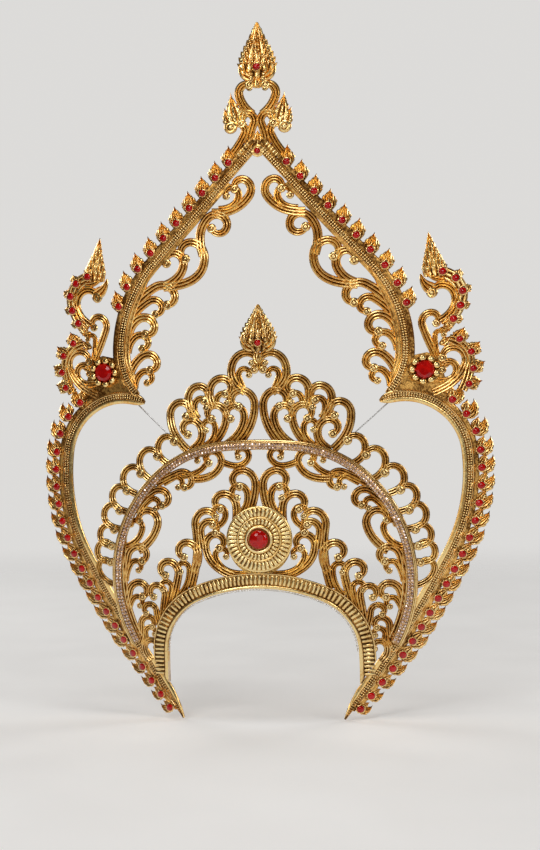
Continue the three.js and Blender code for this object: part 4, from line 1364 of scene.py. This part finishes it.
def plate(outline, layer, relief):
    """A flat plate with the given outline, between two depths."""
    front, back = layer
    bm, tone = begun()
    face = bm.faces.new([bm.verts.new((place.real, back, place.imag)) for place in outline])
    grown = bmesh.ops.extrude_face_region(bm, geom=[face])["geom"]
    raised = [item for item in grown if isinstance(item, bmesh.types.BMVert)]
    bmesh.ops.translate(bm, vec=(0, front - back, 0), verts=raised)
    for vert in bm.verts:
        vert[tone] = relief
    return taken(bm)


claws = []
for a in (np.arange(CLAWS) + 0.5) * 2 * math.pi / CLAWS:
    spot = STONE_PLACE + cmath.rect(STONE_RADIUS + CLAW_OUT, a)
    claws.append(station(spot, a, STRIP_LAYER[0] - CLAW_RISE, *CLAW_SIZE))
# The face of the claw plate has relief 0, which paints shade round the claws so that they stand out.
claw_plate = turned([
    (0, 0, 0.4), (CLAW_RADIUS, 0, 0.4), (CLAW_RADIUS, 2.6, 0.5), (12, 3, 0.0), (0, 3, 0.0),
], 28)
cusp_edge = [SIDE.off(s, CUSP_OUT)[0] for s in np.linspace(*CUSP_REACH, CUSP_STEPS)]
shoulder = joined([
    plate([*cusp_edge, *CUSP_CORNERS], CUSP_LAYER, CUSP_RELIEF),
    stamped(claw_plate, [facing(STONE_PLACE, STRIP_LAYER[1])]),
    stamped(UNIT_BALL, claws),
    tendrils(S_SCROLL, S_LAYER),
    tendrils(SHOULDER_CURLS, STRIP_LAYER),
    shoulder_ribbons,
    *[leaf_lobe(bud, LEAF_LAYER, curve=BUD_CURVE, teeth=3) for bud in BUDS],
    shoulder_flame,
])
pair("shoulder_scroll", shoulder, SURROUND_GILT)
cut_stone = turned([
    (0, 0, 0), (0.96, 0, 0), (1, 0.2, 0), (0.9, 0.46, 0), (0.58, 0.74, 0), (0, 0.74, 0),
], FACETS)
shoulder_stone = stamped(cut_stone, [facing(STONE_PLACE, STRIP_LAYER[0] - GAP, STONE_RADIUS)])
pair("shoulder_stone", shoulder_stone, RED_GLASS, sharp=FACET_SHARP)

# %% [markdown]
# ## Ornament leaves
# The leaf on the crest and the one at the very top are pressed work: a broad flame, round at its foot and
# smooth at its tip. Nested crescents lie on each side of its stone, rows of scales climb above it, and
# three petals and a pair or two of knobs hang below. It could be sculpted, but the places are shares of
# the leaf's length and width, so one function makes both leaves.

# %% Ornament leaves
FLAME_ALONG = (0, 0.08, 0.2, 0.36, 0.5, 0.63, 0.76, 0.88, 1)
FLAME_HALF = (0.7, 0.9, 1, 0.88, 0.71, 0.53, 0.36, 0.22, 0.05)
SCALE_ROWS = ((0.3, 5), (0.4, 4), (0.5, 3), (0.59, 3), (0.67, 2), (0.74, 1))
SCALE_SPREAD, SCALE_LENGTH, SCALE_WIDTHS = 0.36, 0.18, (0.09, 0.1)
SCALE_TURN, SCALE_CURVE = 10, 12
CRESCENTS = (0.3, 0.2, 0.11)
CRESCENT_FOOT, CRESCENT_SIZE, CRESCENT_CURVE = (0.13, 0.03), (2.3, 0.11), 132
CALYX = ((0, 14), (40, 12), (-40, 12))
CALYX_WIDTH = 6
KNOB_RADIUS = 3
STONE_PETALS, PETAL_SIZE, PETAL_RISE = 10, (2.3, 1.1), 1.1
BODY_SUNK, COLLET_RISE, ORNAMENT_SEAT = 0.5, 1.3, 1.2


def flame_half(t):
    """Half width of an ornament leaf, 1 at its widest."""
    return float(np.interp(t, FLAME_ALONG, FLAME_HALF))


def ornament_leaf(leaf, layer, stone, radius, knobs):
    """A flame leaf whose knobs, places across and along it, end with the lowest."""
    front, back = layer
    raised = (front - SCALE_RISE, back - SUNK_BACK)
    length, width = leaf.length, leaf.width

    def on_leaf(across, along):
        return complex(leaf.x + across * width, leaf.z + along * length)

    knob_places = [facing(on_leaf(*knob), back, KNOB_RADIUS, back - raised[0]) for knob in knobs]
    half = [stamped(KNOB, knob_places)]
    for share in CRESCENTS:
        start = on_leaf(*CRESCENT_FOOT) + (CRESCENTS[0] - share) * width * 1j
        size = (CRESCENT_SIZE[0] * share * width, CRESCENT_SIZE[1] * width)
        half.append(lobe(start, 0, *size, raised, CRESCENT_CURVE, 1))
    scales = []
    for along, count in SCALE_ROWS:
        for share in np.linspace(-1, 1, count) if count > 1 else [0]:
            start = on_leaf(SCALE_SPREAD * share * flame_half(along + 0.1), along - 0.04)
            wide = SCALE_WIDTHS[0] + SCALE_WIDTHS[1] * flame_half(along)
            size = (SCALE_LENGTH * length, wide * width)
            scales.append(lobe(start, 90 - SCALE_TURN * share, *size, raised, SCALE_CURVE * share, 2, 3))
    calyx_foot = on_leaf(0, knobs[-1][1])
    calyx = [lobe(calyx_foot, 90 - lean, size, CALYX_WIDTH, raised, 1.4 * lean, 2) for lean, size in CALYX]
    petal = (PETAL_SIZE[0] * radius, PETAL_SIZE[1] * radius)
    ring = [
        lobe(stone, a, *petal, (front - PETAL_RISE, back), ridges=1)
        for a in np.arange(STONE_PETALS) * 360 / STONE_PETALS
    ]
    return joined([
        leaf_lobe(leaf, (front + BODY_SUNK, back), ridges=5, teeth=9, profile=flame_half, lead=SPIRE_LEAD),
        both(joined(half)),
        *scales,
        *calyx,
        *ring,
        stamped(COLLET, [facing(stone, front - COLLET_RISE, radius)]),
    ])


CREST_LEAF = Leaf(0, 305.5, 90, 43, 36)
CREST_STONE, CREST_STONE_SIZE = 314.5j, 3.0
CREST_KNOBS = ((0.17, -0.22),)
crest_leaf = ornament_leaf(CREST_LEAF, ARCH_LAYER, CREST_STONE, CREST_STONE_SIZE, CREST_KNOBS)
piece("worked_crest_leaf", crest_leaf, TIARA_GILT, ["crest_leaf"])
single_stone("crest_leaf_stone", SMALL_STONE, CREST_STONE, ARCH_LAYER[0] - ORNAMENT_SEAT, CREST_STONE_SIZE)

# %% [markdown]
# ## Top finial
# Loops at the point of the gable carry the top leaf. On each side stands a leaf of three flames over a
# round swirl, and a small boss with a stone covers the mitre of the rails. A mirror modifier would make
# the other half, but the middle parts lie across it, so the half is mirrored as arrays and joined to
# them.

# %% Top finial
FINIAL = scrolls([
    (4.5, 519.5, 16.5, 536.5, 9, 541, 138),
    (8, 491, 3.5, 511, 10, 515, -250),
    (22.5, 485, 12, 502, 18, 506, -190),
])
FINIAL_WIDTHS = (10.2, 9.2)
FINIAL_FLAMES = [Leaf(*row) for row in (
    (18.5, 509, 72, 31, 15),
    (21, 507, 56, 21, 13),
    (14.5, 512, 96, 18, 11),
)]
FINIAL_STRIP, FINIAL_RIB, FINIAL_RIB_OUT, FINIAL_RIB_PITCH = (3.4, 8.5), (4, 2.2, 1.2), 6.2, 3.2
SWIRL_PLACE, SWIRL_RADIUS = 24.5 + 508.5j, 6.2
SWIRL_DEEP = LEAF_LAYER[1] - LEAF_LAYER[0] + SCALE_RISE
TOP_LEAF = Leaf(0, 549, 90, 53.5, 37.5)
TOP_STONE, TOP_STONE_SIZE = 563j, 3.3
TOP_KNOBS = ((0.15, 0.05), (0.19, -0.1))
APEX_STONE, APEX_STONE_SIZE = 487j, 2.7
APEX_LEAF = Leaf(0, 489, 90, 17, 11)
APEX_BACK, BOSS_RADIUS, BOSS_DEEP = RAIL_LAYER[0] + 0.4, 6, 6.4
finial_section = strip_section(*FINIAL_STRIP, *STRIP_LAYER, GABLE_TONE)
finial_strip = along_course(GABLE, finial_section, 0, gable_leaf_start - GAP)
rib_stops = np.arange(6, gable_leaf_start - 2, FINIAL_RIB_PITCH)
finial_half = joined([
    finial_strip,
    stamped(rib(*FINIAL_RIB), [seat(GABLE, s, FINIAL_RIB_OUT, STRIP_LAYER[0]) for s in rib_stops]),
    tendrils(FINIAL, STRIP_LAYER, widths=FINIAL_WIDTHS),
    *[leaf_lobe(leaf, LEAF_LAYER, curve=14, teeth=5) for leaf in FINIAL_FLAMES],
    stamped(KNOB, [facing(SWIRL_PLACE, LEAF_LAYER[1], SWIRL_RADIUS, SWIRL_DEEP)]),
])
top_leaf = ornament_leaf(TOP_LEAF, STRIP_LAYER, TOP_STONE, TOP_STONE_SIZE, TOP_KNOBS)
apex_boss = joined([
    leaf_lobe(APEX_LEAF, STRIP_LAYER, teeth=4),
    stamped(THORN_DISC, [facing(APEX_STONE, STRIP_LAYER[1], BOSS_RADIUS, BOSS_DEEP)]),
    stamped(COLLET, [facing(APEX_STONE, APEX_BACK, APEX_STONE_SIZE)]),
])
top_finial = joined([both(finial_half), top_leaf, apex_boss])
piece("worked_top_finial", top_finial, SURROUND_GILT, ["top_finial"])
single_stone("top_finial_stone", SMALL_STONE, TOP_STONE, STRIP_LAYER[0] - ORNAMENT_SEAT, TOP_STONE_SIZE)
single_stone("apex_stone", SMALL_STONE, APEX_STONE, APEX_BACK, APEX_STONE_SIZE)

# %% [markdown]
# ## Leaf stones
# The small stones of the leaf rows and shoulders were noted as their collets were made. They could be an
# object each, but dozens of tiny objects are hard to handle, so they become one piece a side.

# %% Leaf stones
leaf_stones = stamped(SMALL_STONE, set_stones)
piece("leaf_stones_right", leaf_stones, RED_GLASS)
piece("leaf_stones_left", mirrored(leaf_stones), RED_GLASS)

# %% [markdown]
# ## Stay wires
# A thin straight wire ties each cusp of the surround to the tiara. Its ends are soldered, with a small
# blob. A cylinder would do for a straight wire, but this one bends with the front, so it is swept in
# short steps.

# %% Stay wires
STAY_TOP, STAY_FOOT = (119.5, 8, 262.5), (84, 0.9, 230.5)
STAY_RADIUS, STAY_BLOB, STAY_STEPS = 0.6, 1.1, 12
stay_ways = np.linspace(STAY_TOP, STAY_FOOT, STAY_STEPS)
stay_line = [complex(x, z) for x, _, z in stay_ways]
stay_heading = cmath.phase(stay_line[-1] - stay_line[0])
stay_stations = [station(place, stay_heading, way[1]) for place, way in zip(stay_line, stay_ways)]
blobs = [facing(stay_line[i], stay_ways[i][1], STAY_BLOB) for i in (0, -1)]
stay = joined([swept(wire_section(STAY_RADIUS), stay_stations), stamped(UNIT_BALL, blobs)])
pair("stay", stay, STAY_STEEL)

# %% [markdown]
# ## Floor and light
# The object stands on its two lowest points over a plain pale floor, which fades out so that it has no
# edge. Metal shows what it mirrors. An even white surround would wash it out, so large soft lights are
# set against a dim one: they give long highlights on the ridges, and the grooves stay dark.

# %% Floor
FLOOR_NEAR, FLOOR_FAR, FLOOR_GAP = 0.5, 2.6, 0.001
PALE = (0.72, 0.71, 0.695, 1)
low_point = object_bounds()[0][2]
floor_mesh = bpy.data.meshes.new("floor")
floor_bm = bmesh.new()
bmesh.ops.create_circle(floor_bm, cap_ends=True, segments=96, radius=FLOOR_FAR)
bmesh.ops.translate(floor_bm, vec=(0, 0, low_point - FLOOR_GAP), verts=floor_bm.verts)
floor_bm.to_mesh(floor_mesh)
floor_bm.free()
pale_floor = finish(
    "pale_floor", (0.74, 0.73, 0.715, 1), (0.78, 0.77, 0.755, 1), 3, (0.6, 0.7),
    Emission_Color=PALE, Emission_Strength=0.32,
)
floor_tree = pale_floor.node_tree
floor_shader = floor_tree.nodes["Principled BSDF"]
away = made_node(floor_tree, "ShaderNodeVectorMath", operation="LENGTH")
fading = ranged(floor_tree, away.outputs["Value"], FLOOR_NEAR, FLOOR_FAR, 1, 0)
joined_nodes(
    floor_tree,
    (made_node(floor_tree, "ShaderNodeTexCoord").outputs["Object"], away.inputs[0]),
    (fading, floor_shader.inputs["Alpha"]),
)
floor = bpy.data.objects.new("floor", floor_mesh)
floor_mesh.materials.append(pale_floor)
bpy.context.scene.collection.objects.link(floor)
print("floor at", round(low_point, 4))

# %% Lights
AIM = Vector((0, 0, 0.28))
DIM = (0.075, 0.07, 0.064, 1)
Softbox = namedtuple("Softbox", "name place size power")
SOFTBOXES = [
    Softbox("key", (-0.9, -2.0, 1.5), 0.9, 17),
    Softbox("front", (0.5, -3.4, 0.7), 2.6, 15),
    Softbox("fill", (1.7, -1.1, 0.9), 0.7, 8),
    Softbox("top", (0.1, -0.5, 2.1), 0.8, 10),
    Softbox("rim_left", (-1.4, 1.3, 0.9), 0.8, 10),
    Softbox("rim_right", (1.4, 1.3, 0.9), 0.8, 10),
]
for box in SOFTBOXES:
    light = bpy.data.lights.new(box.name, "AREA")
    light.size = box.size
    light.energy = box.power
    lamp = bpy.data.objects.new(box.name, light)
    lamp.location = box.place
    lamp.rotation_euler = (AIM - Vector(box.place)).to_track_quat("-Z", "Y").to_euler()
    bpy.context.scene.collection.objects.link(lamp)

world = bpy.data.worlds.new("studio")
world.use_nodes = True
bpy.context.scene.world = world
backdrop = world.node_tree.nodes["Background"]
seen = made_node(world.node_tree, "ShaderNodeLightPath").outputs["Is Camera Ray"]
colour = mix_colours(world.node_tree, seen, DIM, PALE)
world.node_tree.links.new(colour, backdrop.inputs["Color"])
bpy.context.scene.view_settings.view_transform = "Standard"
print("lights:", len(SOFTBOXES))
